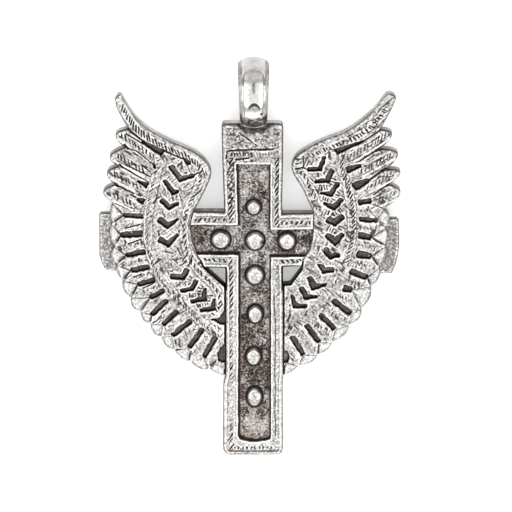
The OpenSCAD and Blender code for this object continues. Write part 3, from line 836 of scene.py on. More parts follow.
def scratches(x, y, degrees, seed):
    """Fine short scratches at an angle, from -0.5 to 0.5."""
    c, s = math.cos(math.radians(degrees)), math.sin(math.radians(degrees))
    return grain((x * c + y * s) / 4, y * c - x * s, 0.24, seed) - 0.5


def beside_hole(x, y, top, foot):
    """Whether a place is round one of the two small triangular holes under the arms."""
    return (np.abs(x) > 4.5) & (np.abs(x) < 10.5) & (y < top) & (y > foot)


def leading_share(x, y):
    """One along the smooth leading edges of the wings, none elsewhere."""
    gaps = [np.abs(along(x, y, real(spline(wing["lead"], 4)))[1]) for wing in (LEFT_WING, RIGHT_WING)]
    return ramp(0.35, 0.1, np.minimum(*gaps))


def pit_gaps(face, wing, sizes, seed):
    """Distances to the uneven edges of the slots and of the chevrons."""
    slot_w = sizes.slot_width / MM
    chevron_w = sizes.chevron_width / MM
    uneven = 0.2 * (face.grain(0.6, seed + 4) - 0.5)
    slots = [
        bar_distance(face.x, face.y, s[0:2], s[2:4], s[4] * slot_w, s[5] * slot_w) for s in wing["slots"]
    ] + [outline_distance(face.x, face.y, real(pocket))[0] for pocket in wing["pockets"]]
    bars = [
        bar_distance(
            face.x, face.y, end, c[2:4], chevron_w * wide, chevron_w * c[7], chevron_w * c[7] / 2, 0.26
        )
        for c in wing["chevrons"] for end, wide in ((c[0:2], c[6]), (c[4:6], c[8]))
    ]
    return np.minimum.reduce(slots) + uneven, np.minimum.reduce(bars) + uneven


def carve_petals(face, wing):
    """Scalloped petals, which lie lower than the ribs that run out between them."""
    smooth = np.zeros(face.x.shape)
    notches = [wing["end"]] + [row[2:] for row in wing["feathers"]]
    for k, boldness in enumerate(wing["petal_lines"]):
        apex = real(wing["slots"][-1 - k][2:4])[0]
        a, b = real(notches[k:k + 2])
        dx = face.x - apex[0]
        dy = face.y - apex[1]
        middle = unit((a + b) / 2 - apex)
        gaps = []
        for corner in (a, b):
            ray = unit(corner - apex)
            normal = np.array([-ray[1], ray[0]])
            if normal @ middle < 0:
                normal = -normal
            gaps.append(dx * normal[0] + dy * normal[1])
        wedge = np.minimum(*gaps)
        out = np.hypot(dx, dy)
        near_petal = (out < PETAL_REACH) * (dx * middle[0] + dy * middle[1] > 0)
        petal = ramp(-0.04, 0.1, wedge) * near_petal
        face.z -= 0.24 * petal
        face.z += 0.22 * petal * ramp(0, 0.8, wedge)
        smooth = np.maximum(smooth, petal)
        reach = float(np.linalg.norm((a + b) / 2 - apex))
        bold = boldness * ramp(1.05 * reach, 0.8 * reach, out)
        face.dark = face.dark * (1 - petal)
        face.cut(bump(wedge, 0.08 + 0.06 * bold) * near_petal, 0.14, 0.25 + 1.15 * bold)
    return smooth


def carve_rope(face, wing, key, seed):
    """Hatched band along its line, with bright borders."""
    rope = ROPES[key]
    half = rope["half"]
    bold = wing["bold"] if rope["soft"] else 1.0
    slant, start, stop, reach = wing["strokes"][key]
    run, off, length, on = face.band(spline(wing["ropes"][key], 8), 0.02)
    share = run / length
    deep = 0.12 + 0.88 * ramp(start - 0.06, start, share) * ramp(stop + 0.1, stop, share)
    body = np.clip(1 - (off / half) ** 4, 0, 1) * on
    uneven = ramp(0.35, 0.85, face.grain(1.3, seed))
    rim = bump(np.abs(off) - half, 0.09) * on * deep
    border = bump(np.abs(off) - half + 0.16, 0.12) * on * deep * ramp(0.25, 0.8, face.grain(0.8, seed + 1))
    cut = strokes(
        run, off - rope["shift"] * wing["side"], rope["pitch"], slant, bold * rope["width"],
        half * reach, seed,
    ) * on * deep
    face.z += rope["rise"] * body * deep + 0.05 * border - 0.05 * rim * uneven - rope["depth"] * cut
    face.stain(rope["rim"] * rim * uneven)
    face.stain(bold * rope["shade"] * cut)
    face.shine(0.5 * border)


def carve_fingers(face, wing, seed):
    """Long upper feathers with a bright lower border and hatching down their middles."""
    side = wing["side"]
    for number, finger in enumerate(wing["fingers"]):
        run, off, _, on = face.band(finger, 0.02)
        low = off * side
        face.z += 0.1 * np.clip(1 - (off / 1.1) ** 2, 0, 1) * on
        face.z += (0.08 * bump(low + 0.85, 0.16) + 0.14 * bump(low - 0.85, 0.24)) * on
        face.shine(0.5 * bump(low - 0.85, 0.26) * on)
        crease = bump(low - 0.52, 0.08) * on * ramp(0.2, 0.7, grain(run, off, 1.6, seed + number))
        cut = strokes(run, off + 0.2 * side, 0.74, -side * 0.8, 0.14, 0.6, seed * 11 + number) * on
        cut = cut * (0.85 - 0.15 * side)
        face.z -= 0.18 * cut + 0.1 * crease
        face.stain(1.4 * cut)
        face.stain(crease)


def carve_ribs(face, wing, seed):
    """Fine hatching on the ribs between the lower slots."""
    rows = [np.array(row[:4]) for row in wing["slots"][3:]]
    for number, (above, below) in enumerate(zip(rows[:-1], rows[1:])):
        run, off, _, on = face.band((above + below) / 2, 0.1)
        cut = strokes(run, off, 0.62, wing["side"] * 0.6, 0.12, 0.34, seed * 13 + number) * on
        fade = 1.0 if number < 6 else 0.4
        face.cut(cut, 0.12 * fade, 1.1 * fade)


def carve_combs(face, wing, seed):
    """Short combed strokes under the chevrons."""
    rows = [np.array(row[:6]) for row in wing["chevrons"]]
    for number, (above, below, share) in enumerate(zip(rows[:-1], rows[1:], wing["combs"])):
        run, off, _, on = face.band(above * 0.52 + below * 0.48, 0.2)
        cut = strokes(run, off, 0.5, 0.1, 0.12, 0.68, seed * 17 + number) * on * share
        face.cut(cut, 0.2, 1.45)


def scratch_wing(face, side, smooth, seed):
    """Scratches along the long feathers and crossing ones elsewhere, on the cast skin."""
    x, y = face.x, face.y
    tall = ramp(17, 19, np.abs(x)) * ramp(6, 8, y)
    mixed = ramp(0.4, 0.6, face.grain(1.3, seed + 10))
    scratch = scratches(x, y, 70 * side, seed + 11) * mixed
    scratch += scratches(x, y, -40 * side, seed + 12) * (1 - mixed)
    scratch += (scratches(x, y, 33 * side, seed + 13) - scratch) * tall
    scratch *= 1 - 0.5 * smooth
    face.z += 0.11 * scratch
    face.stain(0.85 * ramp(0.12, 0.34, -scratch))
    face.z += cast_skin(x, y, seed, 0.06) * (1 - 0.5 * smooth)


def carve_seam(face, side):
    """Dark seam where a wing meets the upright."""
    seam = (face.x - row_edge(UPRIGHT_ROWS, side, face.y / LENGTH_SHARE)) * side
    low = face.y < -4.4 * LENGTH_SHARE
    face.z -= 0.3 * ramp(0.3, 0.05, seam) * low
    face.stain(ramp(0.26, 0.1, seam) * low)


def wing_face(x, y, edge, wing, sizes):
    """Height of a wing's face and its marks."""
    side = wing["side"]
    seed = 20 + side
    floor = sizes.pit_floor / MM
    face = Face(x, y, edge, np.full(x.shape, sizes.wing_top / MM))
    slot_gap, chevron_gap = pit_gaps(face, wing, sizes, seed)
    # Feather ribs are rounded towards the slots, and the chevron bars towards their pits
    face.z -= 0.2 * bump(np.maximum(slot_gap, 0), 0.38)
    face.z -= 0.1 * bump(np.maximum(chevron_gap, 0), 0.3)
    smooth = carve_petals(face, wing)
    for number, key in enumerate(ROPES):
        carve_rope(face, wing, key, seed * 7 + number)
    carve_fingers(face, wing, seed)
    carve_ribs(face, wing, seed)
    carve_combs(face, wing, seed)
    face.scribe(wing["lines"], 0.6, 0.25, 0.9 - 0.1 * side)
    scratch_wing(face, side, smooth, seed)
    # The border along the leading edge is plain and clean, and so is the edge that lies over the arm
    lead = np.abs(along(x, y, real(spline(wing["lead"], 8)))[1])
    plain = ramp(0.2, 0.02, lead - edge) * ramp(0.75, 0.55, edge)
    inner = plain * ramp(16.5, 14.0, y)
    over_arm = ramp(6.5, 5.5, y) * ramp(-4.2, -3.2, y) * (np.abs(x) < 12)
    face.dark = face.dark * (1 - 0.8 * plain)
    face.round_edge(0.55, (0.8 - 0.3 * smooth - 0.75 * plain) * (1 - 0.8 * over_arm))
    face.stain(1.2 * beside_hole(x, y, -3.6, -9) * ramp(0.4, 0.2, edge))
    carve_seam(face, side)
    shade = 0.72 - 0.25 * ramp(0.4, 0.9, face.grain(2.0, seed + 5)) - 0.2 * face.grain(0.4, seed + 6)
    face.pit(slot_gap, floor, 0.06, shade + 0.1)
    face.pit(chevron_gap, floor, 0.1, shade + 0.02)
    face.z += (np.minimum(slot_gap, chevron_gap) < -0.1) * 0.12 * (face.grain(0.45, seed + 2) - 0.5)
    # Black specks, darker on the upper part of the right wing
    speckle = ramp(0.5, 0.8, 0.6 * face.grain(0.3, seed + 8) + 0.4 * face.grain(1.5, seed + 9))
    face.stain((0.55 + 0.3 * (side > 0) * ramp(-2, 3, y)) * speckle * (1 - smooth))
    face.shine(0.38 * smooth * (1 - 1.4 * ramp(0.6, 0.15, edge)))
    return face.z, {
        "patina": face.dark,
        "calm": 0.6 * np.maximum(smooth, inner),
        "lift": face.lift - 0.1 * plain + 0.4 * inner,
    }


def field_distance(x, y):
    """Distance to the uneven edge of the sunken field of the upright and the arms."""
    field = outline_distance(x, y, row_outline(FIELD_ROWS))[0]
    for side, reach, _, _, top, bottom in ARM_ROWS:
        end = side * (reach - 0.6)
        box = real([(0, top), (end, top), (end, bottom), (0, bottom)])
        field = np.minimum(field, outline_distance(x, y, box)[0])
    return field + 0.1 * (grain(x, y, 0.7, 60) - 0.5)


def rim_height(x, y, rim):
    """Height of the rims, lower on the arms and lower still where a wing lies over them."""
    arms = ramp(5.2, 7.5, np.abs(x))
    wings = [outline_distance(x, y, wing_outline(wing))[0] for wing in (LEFT_WING, RIGHT_WING)]
    covered = ramp(0.1, -0.1, np.minimum(*wings)) * (np.abs(x) > 6)
    return rim - 0.22 * arms - 0.7 * covered


def carve_rims(face, drawn, field):
    """Two plain ridges on the upright's rims, with a hatched channel between them."""
    x, y, edge = face.x, face.y, face.edge
    below_head = 1 - ramp(14.6, 15.2, drawn)
    channel = ramp(0.55, 0.75, edge) * ramp(0.3, 0.45, field) * below_head
    face.z = face.z - 0.14 * channel
    face.stain(0.5 * bump(edge - 0.64, 0.1) * (0.4 + face.grain(1.4, 82)))
    face.stain(0.45 * bump(field - 0.42, 0.1) * below_head * (0.4 + face.grain(1.4, 83)))
    for side, middle, heights, shares in RIM_STROKES:
        cut = strokes(y, x - middle, 1.03, -1.5, 0.15, 0.5, 40 + side) * np.interp(drawn, heights, shares)
        face.cut(cut * (np.abs(x - middle) < 0.85) * below_head * channel, 0.2, 1.5)
    scribble = ramp(0.55, 0.72, face.grain(0.34, 84)) * channel * (x < 0) * ramp(3.5, 7.5, drawn)
    face.cut(scribble, 0.12, 0.75)
    gap = np.abs(x - 3.85 - 0.3 * (face.grain(2.4, 85) - 0.5))
    scratch = ramp(0.16, 0.04, gap) * ramp(-7.5, -10, drawn) * ramp(-34.6, -33.5, drawn)
    face.z = face.z - 0.1 * scratch
    face.stain(0.75 * scratch * (0.5 + 0.8 * face.grain(1.6, 86)))


def carve_arms_and_foot(face, drawn, field):
    """Hatching on the rims above and below each arm's field, and across the foot."""
    x = face.x
    for side, _, top, bottom, f_top, f_bottom in ARM_ROWS:
        rims = (((top - 0.5 + f_top) / 2, -0.35), ((bottom + 0.4 + f_bottom) / 2, 0.6))
        for number, (middle, slant) in enumerate(rims):
            off = (drawn - middle) * LENGTH_SHARE
            cut = strokes(x, off, 0.8, slant, 0.15, 0.45, 50 + side + 3 * number)
            cut = cut * (np.abs(off) < 0.75) * (x * side > 4.6) * (face.edge > 0.5) * (field > 0.25)
            face.cut(cut, 0.2, 1.5)
    off = (drawn + 36.05) * LENGTH_SHARE
    cut = strokes(x, off, 0.72, 0.1, 0.13, 0.32, 59) * (np.abs(off) < 0.5) * (np.abs(x) < 4.0)
    face.cut(cut, 0.16, 1.3)


def carve_head(face, drawn):
    """Head panel: rough, with a cross line, a hatched bar and one long scratch."""
    x = face.x
    rough = face.grain(0.26, 61) * 0.7 + face.grain(0.9, 75) * 0.3
    panel = ramp(14.6, 16.6, drawn) * ramp(0.55, 0.8, face.edge)
    face.z = face.z - 0.12 * ramp(0.5, 0.75, rough) * panel
    face.stain((0.05 + 0.72 * rough) * panel)
    face.scribe(HEAD_LINES, 0.7, 0.3, 1.0, 0.12 * (face.grain(0.7, 62) - 0.5))
    off = (drawn - 15.4) * LENGTH_SHARE
    mottle = ramp(0.45, 0.7, face.grain(0.3, 92)) * (np.abs(off) < 0.7) * (np.abs(x) < 4.2)
    face.stain((0.3 + 0.4 * (x < 0)) * mottle)
    bar = strokes(x, off, 0.5, 0.15, 0.15, 0.55, 63)
    bar = bar * (np.abs(off) < 0.65) * (np.abs(x) < 4.3) * (0.5 + 0.5 * ramp(0.3, -0.6, x))
    face.cut(bar, 0.16, 1.4)


def carve_field(face, drawn, field, floor, boss):
    """Sunken field with its bosses: black near the walls and bosses, paler and gritty where it is
    open. Gives the share of each place that is field, and its distance from the nearest boss.
    """
    x, y = face.x, face.y
    inside = ramp(0.06, -0.1, field)
    grit = 0.65 * face.grain(0.2, 66) + 0.15 * face.grain(0.6, 67) + 0.36 * face.grain(1.5, 76)
    near = np.full(x.shape, np.inf)
    face.z = face.z * (1 - inside) + (floor + 0.12 * (grit - 0.5)) * inside
    for bx, by, half_w, half_h in BOSS_ROWS:
        r = np.hypot((x - bx) / half_w, (y - by * LENGTH_SHARE) / half_h)
        near = np.minimum(near, (r - 1) * half_w)
        dome = floor + boss * (1 - np.clip(r, 0, 1) ** 5) ** 0.5
        dome = dome + 0.05 * (face.grain(0.5, 68) - 0.5) - 0.04 * bump(r - 0.55, 0.12)
        face.z = np.where(r < 1, dome, face.z)
    open_share = np.interp(drawn, *FIELD_OPEN) * (1 - (0.34 + 0.28 * (x > 0)) * ramp(3.2, 5.0, np.abs(x)))
    shade = 0.98 - 0.75 * open_share - 1.5 * (grit - 0.58)
    shade = np.maximum(shade, 1.3 * ramp(0.7 - 0.3 * (x > 0), 0.05, -field))
    shade = np.maximum(shade, 1.3 * ramp(0.55, 0.1, near) * (near > 0))
    face.dark = np.maximum(face.dark * (1 - inside), shade * inside)
    face.dark = np.where(near <= 0, ramp(-0.09, 0.02, near), face.dark)
    # One nick in the rim of the middle boss
    face.cut(bump(np.hypot(x - 1.75, y + 0.2), 0.35), 0.5, 1.0)
    face.stain(bump(field, 0.1))
    return inside, near


def cross_face(x, y, edge, sizes):
    """Height of the cross's face, and its marks with the copper that shows."""
    drawn = y / LENGTH_SHARE
    rim = sizes.rim_top / MM
    field = field_distance(x, y)
    face = Face(x, y, edge, rim_height(x, y, rim))
    carve_rims(face, drawn, field)
    carve_arms_and_foot(face, drawn, field)
    carve_head(face, drawn)
    # Recess under the foot of the bail
    recess = np.hypot((x - 0.5) / 3.3, (y - 22.1) / 2.35)
    under_bail = ramp(1.5, 1.1, recess)
    recess = ramp(1.08, 0.86, recess + 0.3 * (face.grain(0.7, 77) - 0.5))
    face.z = face.z - 0.3 * recess
    face.z = face.z + cast_skin(x, y, 64, 0.085)
    face.round_edge(sizes.rim_round / MM, 0.75)
    # Painted shade on the lowest edge of the foot, darkening round the small holes and in the recess, and
    # grime along the top of the head
    low = ramp(-36.2, -36.6, drawn)
    corner = ramp(18.9, 20.0, drawn) * ramp(0.35, 0.6, face.grain(0.7, 89))
    face.stain(low * (0.2 + 0.45 * face.grain(0.45, 93)))
    face.stain(0.95 * bump(edge - 0.25, 0.16) * low * face.grain(0.9, 94))
    face.stain(1.2 * beside_hole(x, drawn, -3, -8.5) * ramp(0.5, 0.25, edge))
    face.stain(recess * (0.55 + 0.5 * face.grain(0.5, 78)))
    face.stain(0.8 * corner * face.grain(0.4, 90))
    # Fillet of solder at the foot of the bail
    fillet = np.hypot((x - 0.1) / 2.35, (y - 21.6) / 0.7)
    face.z = np.where(fillet < 1, rim + 0.3 * np.sqrt(np.clip(1 - fillet**2, 0, 1)), face.z)
    face.dark = np.where(fillet < 0.93, 0.35, face.dark)
    inside, near = carve_field(face, drawn, field, sizes.field_floor / MM, sizes.boss_height / MM)
    # Copper showing where the plating has worn off the foot, and faintly in the field and stains
    worn = ramp(-36.4, -37.2, drawn) * ramp(2.5, -3.0, x) * face.grain(0.8, 69)
    blush = inside * (0.03 * face.grain(2.2, 87) + 0.04 * ramp(-29, -33, drawn))
    stained = np.maximum(recess, corner) * ramp(0.5, 0.9, face.grain(0.6, 91))
    copper = np.maximum(ramp(0.25, 0.6, worn), blush * (near > 0))
    return face.z, {
        "patina": face.dark,
        "copper": np.maximum(copper, 0.14 * stained * (fillet > 1)),
        "calm": np.where(near <= 0, 0.4, np.maximum(0.85 * inside, 0.8 * under_bail)),
        # Painted light: outside the field the face grows lighter towards the foot; the lowest edge of the
        # foot gets painted shade
        "lift": (1 - inside) * (0.28 * ramp(0, -14, drawn) - 0.1) - 0.6 * low,
    }


def cross_walls(x, y):
    """Grime on the walls, heavy on top of the arms and in patches on the head, and painted shade on the
    walls of the small holes.
    """
    drawn = y / LENGTH_SHARE
    arm = (np.abs(x) > 4.9) & (drawn > 2)
    head = (drawn > 19.9) * ramp(0.45, 0.7, grain(x, y, 1.2, 72))
    patina = 0.12 + 0.45 * arm * grain(x, y, 0.6, 79) ** 0.4 + 0.3 * head
    # Painted shade on the walls of the small holes under the arms
    patina = np.where(beside_hole(x, drawn, -3, -8.5), 0.9, patina)
    return {"patina": patina, "wear": 0.3 * (drawn < -8) + 0.5 * (drawn > 19.9)}


def wing_walls(x, y):
    """Grime on the walls, none on the long leading edges and heavier between the feathers, and painted
    shade on the walls of the small holes.
    """
    lead = leading_share(x, y)
    patina = 0.35 - 0.25 * lead + 0.2 * (grain(x, y, 0.8, 73) - 0.5)
    # Painted shade on the walls of the small holes under the arms
    return {"patina": np.where(beside_hole(x, y, -3.6, -9), 0.9, patina), "wear": 0.1 * lead}


def tab_walls(x, y):
    """Even thin grime on the walls of the tabs."""
    return {"patina": np.full(x.shape, 0.3)}


def tab_face(x, y, edge, sizes, seed):
    """Height and patina of a plain tab."""
    top = sizes.tab_top / MM
    face = Face(x, y, edge, top + cast_skin(x, y, seed, 0.12) + 0.05 * bump(edge - 0.3, 0.15))
    patches = 0.1 + 0.45 * ramp(0.35, 0.8, face.grain(0.4, seed + 2))
    face.dark = patches * ramp(0.35, 0.6, edge)
    face.round_edge(0.35, 0.7)
    return face.z, {"patina": face.dark}


def srgb(hex_colour):
    """Linear colour from an sRGB hex value."""
    out = []
    for k in (1, 3, 5):
        c = int(hex_colour[k:k + 2], 16) / 255
        out.append(c / 12.92 if c <= 0.04045 else ((c + 0.055) / 1.055) ** 2.4)
    return (*out, 1.0)


def add_node(tree, kind, inputs=None, stops=(), **settings):
    """Adds a node with its fields, its colour ramp's stops, and its inputs linked or set."""
    node = tree.nodes.new(kind)
    for key, value in settings.items():
        setattr(node, key, value)
    for key, value in (inputs or {}).items():
        if isinstance(value, bpy.types.NodeSocket):
            tree.links.new(value, node.inputs[key])
        else:
            node.inputs[key].default_value = value
    for number, (where, colour) in enumerate(stops):
        band = node.color_ramp.elements
        element = band[number] if number < len(band) else band.new(1.0)
        element.position = where
        element.color = colour
    return node


def new_material(name):
    material = bpy.data.materials.new(name)
    material.use_nodes = True
    material.node_tree.nodes.clear()
    return material, material.node_tree


def grey(value):
    return (value, value, value, 1.0)


def silver_plate(context, name, dull, gritty=1.2, polish=0.3):
    """Silver plated cast metal, worn bright on top, with black-brown oxide left in the low places.

    Casting leaves a fine grainy skin that breaks up the reflections, and polishing only reaches
    the raised parts, so the eye sees white ridges, a grey speckled skin and nearly black cuts.
    """
    colours = context.scene.pendant_colours
    material, tree = new_material(name)
    place_in = add_node(tree, "ShaderNodeTexCoord").outputs["Object"]
    # The patina and wear marks also carry painted shade, painted reflections and painted light in places
    patina, stand, copper = (
        add_node(tree, "ShaderNodeAttribute", attribute_name=mark).outputs["Fac"]
        for mark in ("patina", "wear", "copper")
    )
    # Grit of the cast skin: about 0.35 mm
    grit = add_node(tree, "ShaderNodeTexNoise", {
        "Vector": place_in, "Scale": 1 / (0.35 * MM), "Detail": 2.0, "Roughness": 0.6}).outputs["Fac"]
    # Cloudy tarnish: about 2.5 mm clouds
    cloud = add_node(tree, "ShaderNodeTexNoise", {
        "Vector": place_in, "Scale": 1 / (2.5 * MM), "Detail": 4.0, "Roughness": 0.6}).outputs["Fac"]
    # Tone of the plate: ridges bright, hollows and grit grey
    worn_high = add_node(tree, "ShaderNodeMath", {
        0: stand, 1: 0.38, 2: 0.4 - 0.5 * gritty - 0.3 * dull}, operation="MULTIPLY_ADD").outputs[0]
    gritted = add_node(tree, "ShaderNodeMath", {
        0: grit, 1: gritty, 2: worn_high}, operation="MULTIPLY_ADD").outputs[0]
    tone = add_node(tree, "ShaderNodeMath", {
        0: cloud, 1: 0.4, 2: gritted}, operation="MULTIPLY_ADD").outputs[0]
    metal = add_node(tree, "ShaderNodeValToRGB", {"Fac": tone}, stops=(
        (0.0, colours.oxide_pale), (0.3, colours.tarnish), (0.6, colours.plate),
        (0.92, colours.bright))).outputs["Color"]
    # Oxide: nearly black where it is thick, dusty brown where it is thin
    thick = add_node(tree, "ShaderNodeMath", {
        0: patina, 1: -0.8, 2: 0.42}, operation="MULTIPLY_ADD").outputs[0]
    dust = add_node(tree, "ShaderNodeMath", {0: grit, 1: thick}, operation="ADD").outputs[0]
    oxide = add_node(tree, "ShaderNodeValToRGB", {"Fac": dust}, stops=(
        (0.0, colours.oxide), (0.9, colours.oxide_pale))).outputs["Color"]
    # Cover of the oxide: it holds in the low places and is rubbed off the high ones
    rubbed = add_node(tree, "ShaderNodeMath", {
        0: stand, 1: -0.35, 2: -0.45}, operation="MULTIPLY_ADD").outputs[0]
    specks = add_node(tree, "ShaderNodeMath", {
        0: grit, 1: 0.9, 2: rubbed}, operation="MULTIPLY_ADD").outputs[0]
    spread = add_node(tree, "ShaderNodeMath", {0: specks, 1: patina}, operation="ADD").outputs[0]
    cover = add_node(tree, "ShaderNodeValToRGB", {"Fac": spread}, stops=(
        (0.25, grey(0.0)), (0.78, grey(1.0)))).outputs["Color"]
    skin = add_node(tree, "ShaderNodeMix", {"Factor": cover, "A": metal, "B": oxide},
                    data_type="RGBA").outputs["Result"]
    base = add_node(tree, "ShaderNodeMix", {"Factor": copper, "A": skin, "B": colours.copper},
                    data_type="RGBA").outputs["Result"]
    sheen = add_node(tree, "ShaderNodeValToRGB", {"Fac": tone}, stops=(
        (0.2, grey(polish + 0.2)), (0.85, grey(polish)))).outputs["Color"]
    rough = add_node(tree, "ShaderNodeMix", {"Factor": cover, "A": sheen, "B": grey(0.6)},
                     data_type="RGBA").outputs["Result"]
    height = add_node(tree, "ShaderNodeBump", {
        "Height": grit, "Strength": 0.5, "Distance": 0.05 * gritty * MM}).outputs["Normal"]
    shader = add_node(tree, "ShaderNodeBsdfPrincipled", {
        "Base Color": base, "Metallic": 1.0, "Roughness": rough, "Normal": height})
    add_node(tree, "ShaderNodeOutputMaterial", {"Surface": shader.outputs["BSDF"]})
    return material


def opal_acrylic(colour):
    """Opal acrylic that glows faintly, as if lit from below: the glow keeps the ground white and lifts the
    shadow.
    """
    material, tree = new_material("opal_acrylic")
    place_in = add_node(tree, "ShaderNodeTexCoord").outputs["Object"]
    # Haze in the sheet: clouds of about 1 mm
    haze = add_node(tree, "ShaderNodeTexNoise", {"Vector": place_in, "Scale": 1 / MM})
    tone = add_node(tree, "ShaderNodeValToRGB", {"Fac": haze.outputs["Fac"]}, stops=(
        (0.0, colour), (1.0, grey(1.0)))).outputs["Color"]
    shader = add_node(tree, "ShaderNodeBsdfPrincipled", {
        "Base Color": tone, "Roughness": 0.6, "Emission Color": grey(1.0), "Emission Strength": 0.3})
    add_node(tree, "ShaderNodeOutputMaterial", {"Surface": shader.outputs["BSDF"]})
    return material


def colour_property(name, description, hex_colour):
    return bpy.props.FloatVectorProperty(
        name=name, description=description, default=srgb(hex_colour), size=4,
        min=0.0, max=1.0, subtype="COLOR",
    )


def length_property(name, description, default_mm):
    return bpy.props.FloatProperty(
        name=name, description=description, default=default_mm * MM, unit="LENGTH", precision=5,
    )


class PendantSizes(bpy.types.PropertyGroup):
    """Heights and widths that shape the relief."""

    bail_radius: length_property("Bail radius", "Outer radius of the bail", -LOW.z / MM)
    bail_hole: length_property("Bail hole", "Radius of the hole through the bail", 3.3)
    bail_top_width: length_property("Bail width", "Width of the bail at its top", 5.5)
    bail_root_width: length_property("Bail root width", "Width of the bail at the head", 4.7)
    rim_top: length_property("Rim", "Height of the rim above the middle of the plate", 1.65)
    rim_round: length_property("Rim rounding", "Radius of the worn outer edge of the cross", 0.65)
    field_floor: length_property("Field", "Height of the sunken field", 0.4)
    boss_height: length_property("Bosses", "Height of the bosses above the field", 1.2)
    wing_top: length_property("Wings", "Height of the wings", 1.3)
    pit_floor: length_property("Pits", "Height of the floor of the slots and chevrons", 0.3)
    slot_width: length_property("Slot width", "Width of the feather slots", 0.9)
    chevron_width: length_property("Chevron width", "Width of the chevron pits", 0.84)
    tab_top: length_property("Tabs", "Height of the tabs at the arm ends", 0.2)
    grid_step: length_property("Grid step", "Distance between the points of the relief", 0.1)


class PendantColours(bpy.types.PropertyGroup):
    """Colours of the metal, its oxide and the stage."""

    bright: colour_property("Bright metal", "Polished high spots", "#EFEEEB")
    plate: colour_property("Silver plate", "Worn silver plate", "#B4B3B1")
    tarnish: colour_property("Tarnish", "Grey tarnish on the skin", "#737170")
    oxide: colour_property("Oxide", "Dark oxide in the recesses", "#262120")
    oxide_pale: colour_property("Pale oxide", "Dusty oxide in the recesses", "#837A74")
    copper: colour_property("Copper", "Base metal where the plating has gone", "#C98A68")
    sheet: colour_property("Opal sheet", "Lit surface under the pendant", "#FAFAFA")


def wing_piece(context, wing, name):
    """Adds one wing, on a slightly finer grid than the other pieces."""
    sizes = context.scene.pendant_sizes
    skin = silver_plate(context, "worn_silver_plate_" + name, 0.3)
    wall = silver_plate(context, "cast_edge_" + name, 0.4, 0.7, 0.4)
    add_relief(
        name, wing_outline(wing), 0.85 * sizes.grid_step / MM, WING_BACK,
        lambda x, y, edge: wing_face(x, y, edge, wing, sizes), wing_walls, sizes, (skin, wall, wall),
    )


class PENDANT_OT_cross(bpy.types.Operator):
    """Add the studded cross"""

    bl_idname = "pendant.cross"
    bl_label = "Cross"

    def execute(self, context):
        sizes = context.scene.pendant_sizes
        skin = silver_plate(context, "worn_silver_plate_cross", 0.25)
        wall = silver_plate(context, "cast_edge_cross", 0.5, 0.7, 0.4)
        add_relief(
            "studded_cross", cross_outline(), sizes.grid_step / MM, BACK_DEPTH,
            lambda x, y, edge: cross_face(x, y, edge, sizes), cross_walls, sizes, (skin, wall, wall),
        )
        return {"FINISHED"}


class PENDANT_OT_wings(bpy.types.Operator):
    """Add the two feathered wings"""

    bl_idname = "pendant.wings"
    bl_label = "Wings"

    def execute(self, context):
        wing_piece(context, LEFT_WING, "left_wing")
        wing_piece(context, RIGHT_WING, "right_wing")
        return {"FINISHED"}


class PENDANT_OT_tabs(bpy.types.Operator):
    """Add the plain tabs at the arm ends"""

    bl_idname = "pendant.tabs"
    bl_label = "Tabs"

    def execute(self, context):
        sizes = context.scene.pendant_sizes
        skin = silver_plate(context, "dull_cast_metal", 0.62)
        for name, outline, seed in (("left_tab", LEFT_TAB, 81), ("right_tab", RIGHT_TAB, 91)):
            add_relief(
                name, real(outline), sizes.grid_step / MM, TAB_BACK,
                lambda x, y, edge: tab_face(x, y, edge, sizes, seed), tab_walls, sizes, (skin,),
            )
        return {"FINISHED"}


def bail_band(angle, u, sizes):
    """Places across the outer band and their radius, patina and wear, for each angle round the ring
    and each share u of the half width. The patina holds painted reflections and shade, and the wear
    holds painted greying on the crown and edges.
    """
    outer = sizes.bail_radius / MM
    share = (np.sin(angle) + 1) / 2
    width = sizes.bail_root_width / MM * (1 - share) + sizes.bail_top_width / MM * share
    x = u * width / 2
    run = angle * outer + 0 * u
    line = bump(np.abs(u) - 0.78, 0.05) * ramp(0.2, 0.6, grain(x + 40, run, 1.1, 88))
    pitted = grain(x + 40, run, 0.35, 71)
    turn = np.degrees((angle + math.pi) % (2 * math.pi) - math.pi) + 0 * u
    flat = ramp(62, 40, np.abs(turn))
    r = outer - 0.03 - 1.05 * np.abs(u) ** (2.6 + 2.2 * flat) - 0.05 * line - 0.02 * pitted
    # Painted shade on the strips along the edges of the band, where it turns away, broken up by streaks
    painted_edge_shade = ramp(0.74, 0.84, np.abs(u))
    # Painted dimmer reflection on the crown of the ring: greyer and duller
    painted_grey_crown = ramp(30, 40, turn + 8 * np.abs(u)) * ramp(170, 130, turn)
    # Painted shade on the foot of the ring, next to the head
    foot = ramp(-27, -40, turn - 6 * np.abs(u)) * ramp(-130, -100, turn)
    scratched = ramp(0.5, 0.85, grain(3 * x + 40, run, 0.5, 90))
    # Painted dark reflections on the face of the ring: a streak down the middle, an arch and a blot
    painted_streak = bump(u, 0.17) * ramp(2, 18, turn) * ramp(37, 31, turn)
    painted_arch = turn + 4 + 50 * (u - 0.05) ** 2
    painted_arch = bump(painted_arch, np.where(painted_arch > 0, 2.4, 5.5)) * ramp(0.6, 0.3, np.abs(u - 0.05))
    painted_blot = bump(np.hypot(2.6 * (u - 0.57), 0.108 * (turn + 23)), 0.36)
    # Darkness: the groove line, the painted shade on the edge strips and the crown, then the painted
    # reflections and the painted shade at the foot
    dark = 0.3 * line + (0.04 + 0.3 * scratched) * painted_edge_shade + 0.1 * pitted * painted_grey_crown
    dark = np.maximum.reduce([dark, 0.7 * painted_streak, 1.05 * painted_arch, 1.2 * painted_blot, foot * (0.5 + 0.6 * pitted)])
    # The wear is made duller on the crown and the edge strips as painted reflection and shade, and lighter
    # at the very edges
    stand = wear(r, np.ones(r.shape, bool), 0.1) - 0.45 * painted_grey_crown - 0.25 * painted_edge_shade
    return x, r, dark, stand + 0.9 * ramp(0.84, 1, np.abs(u))


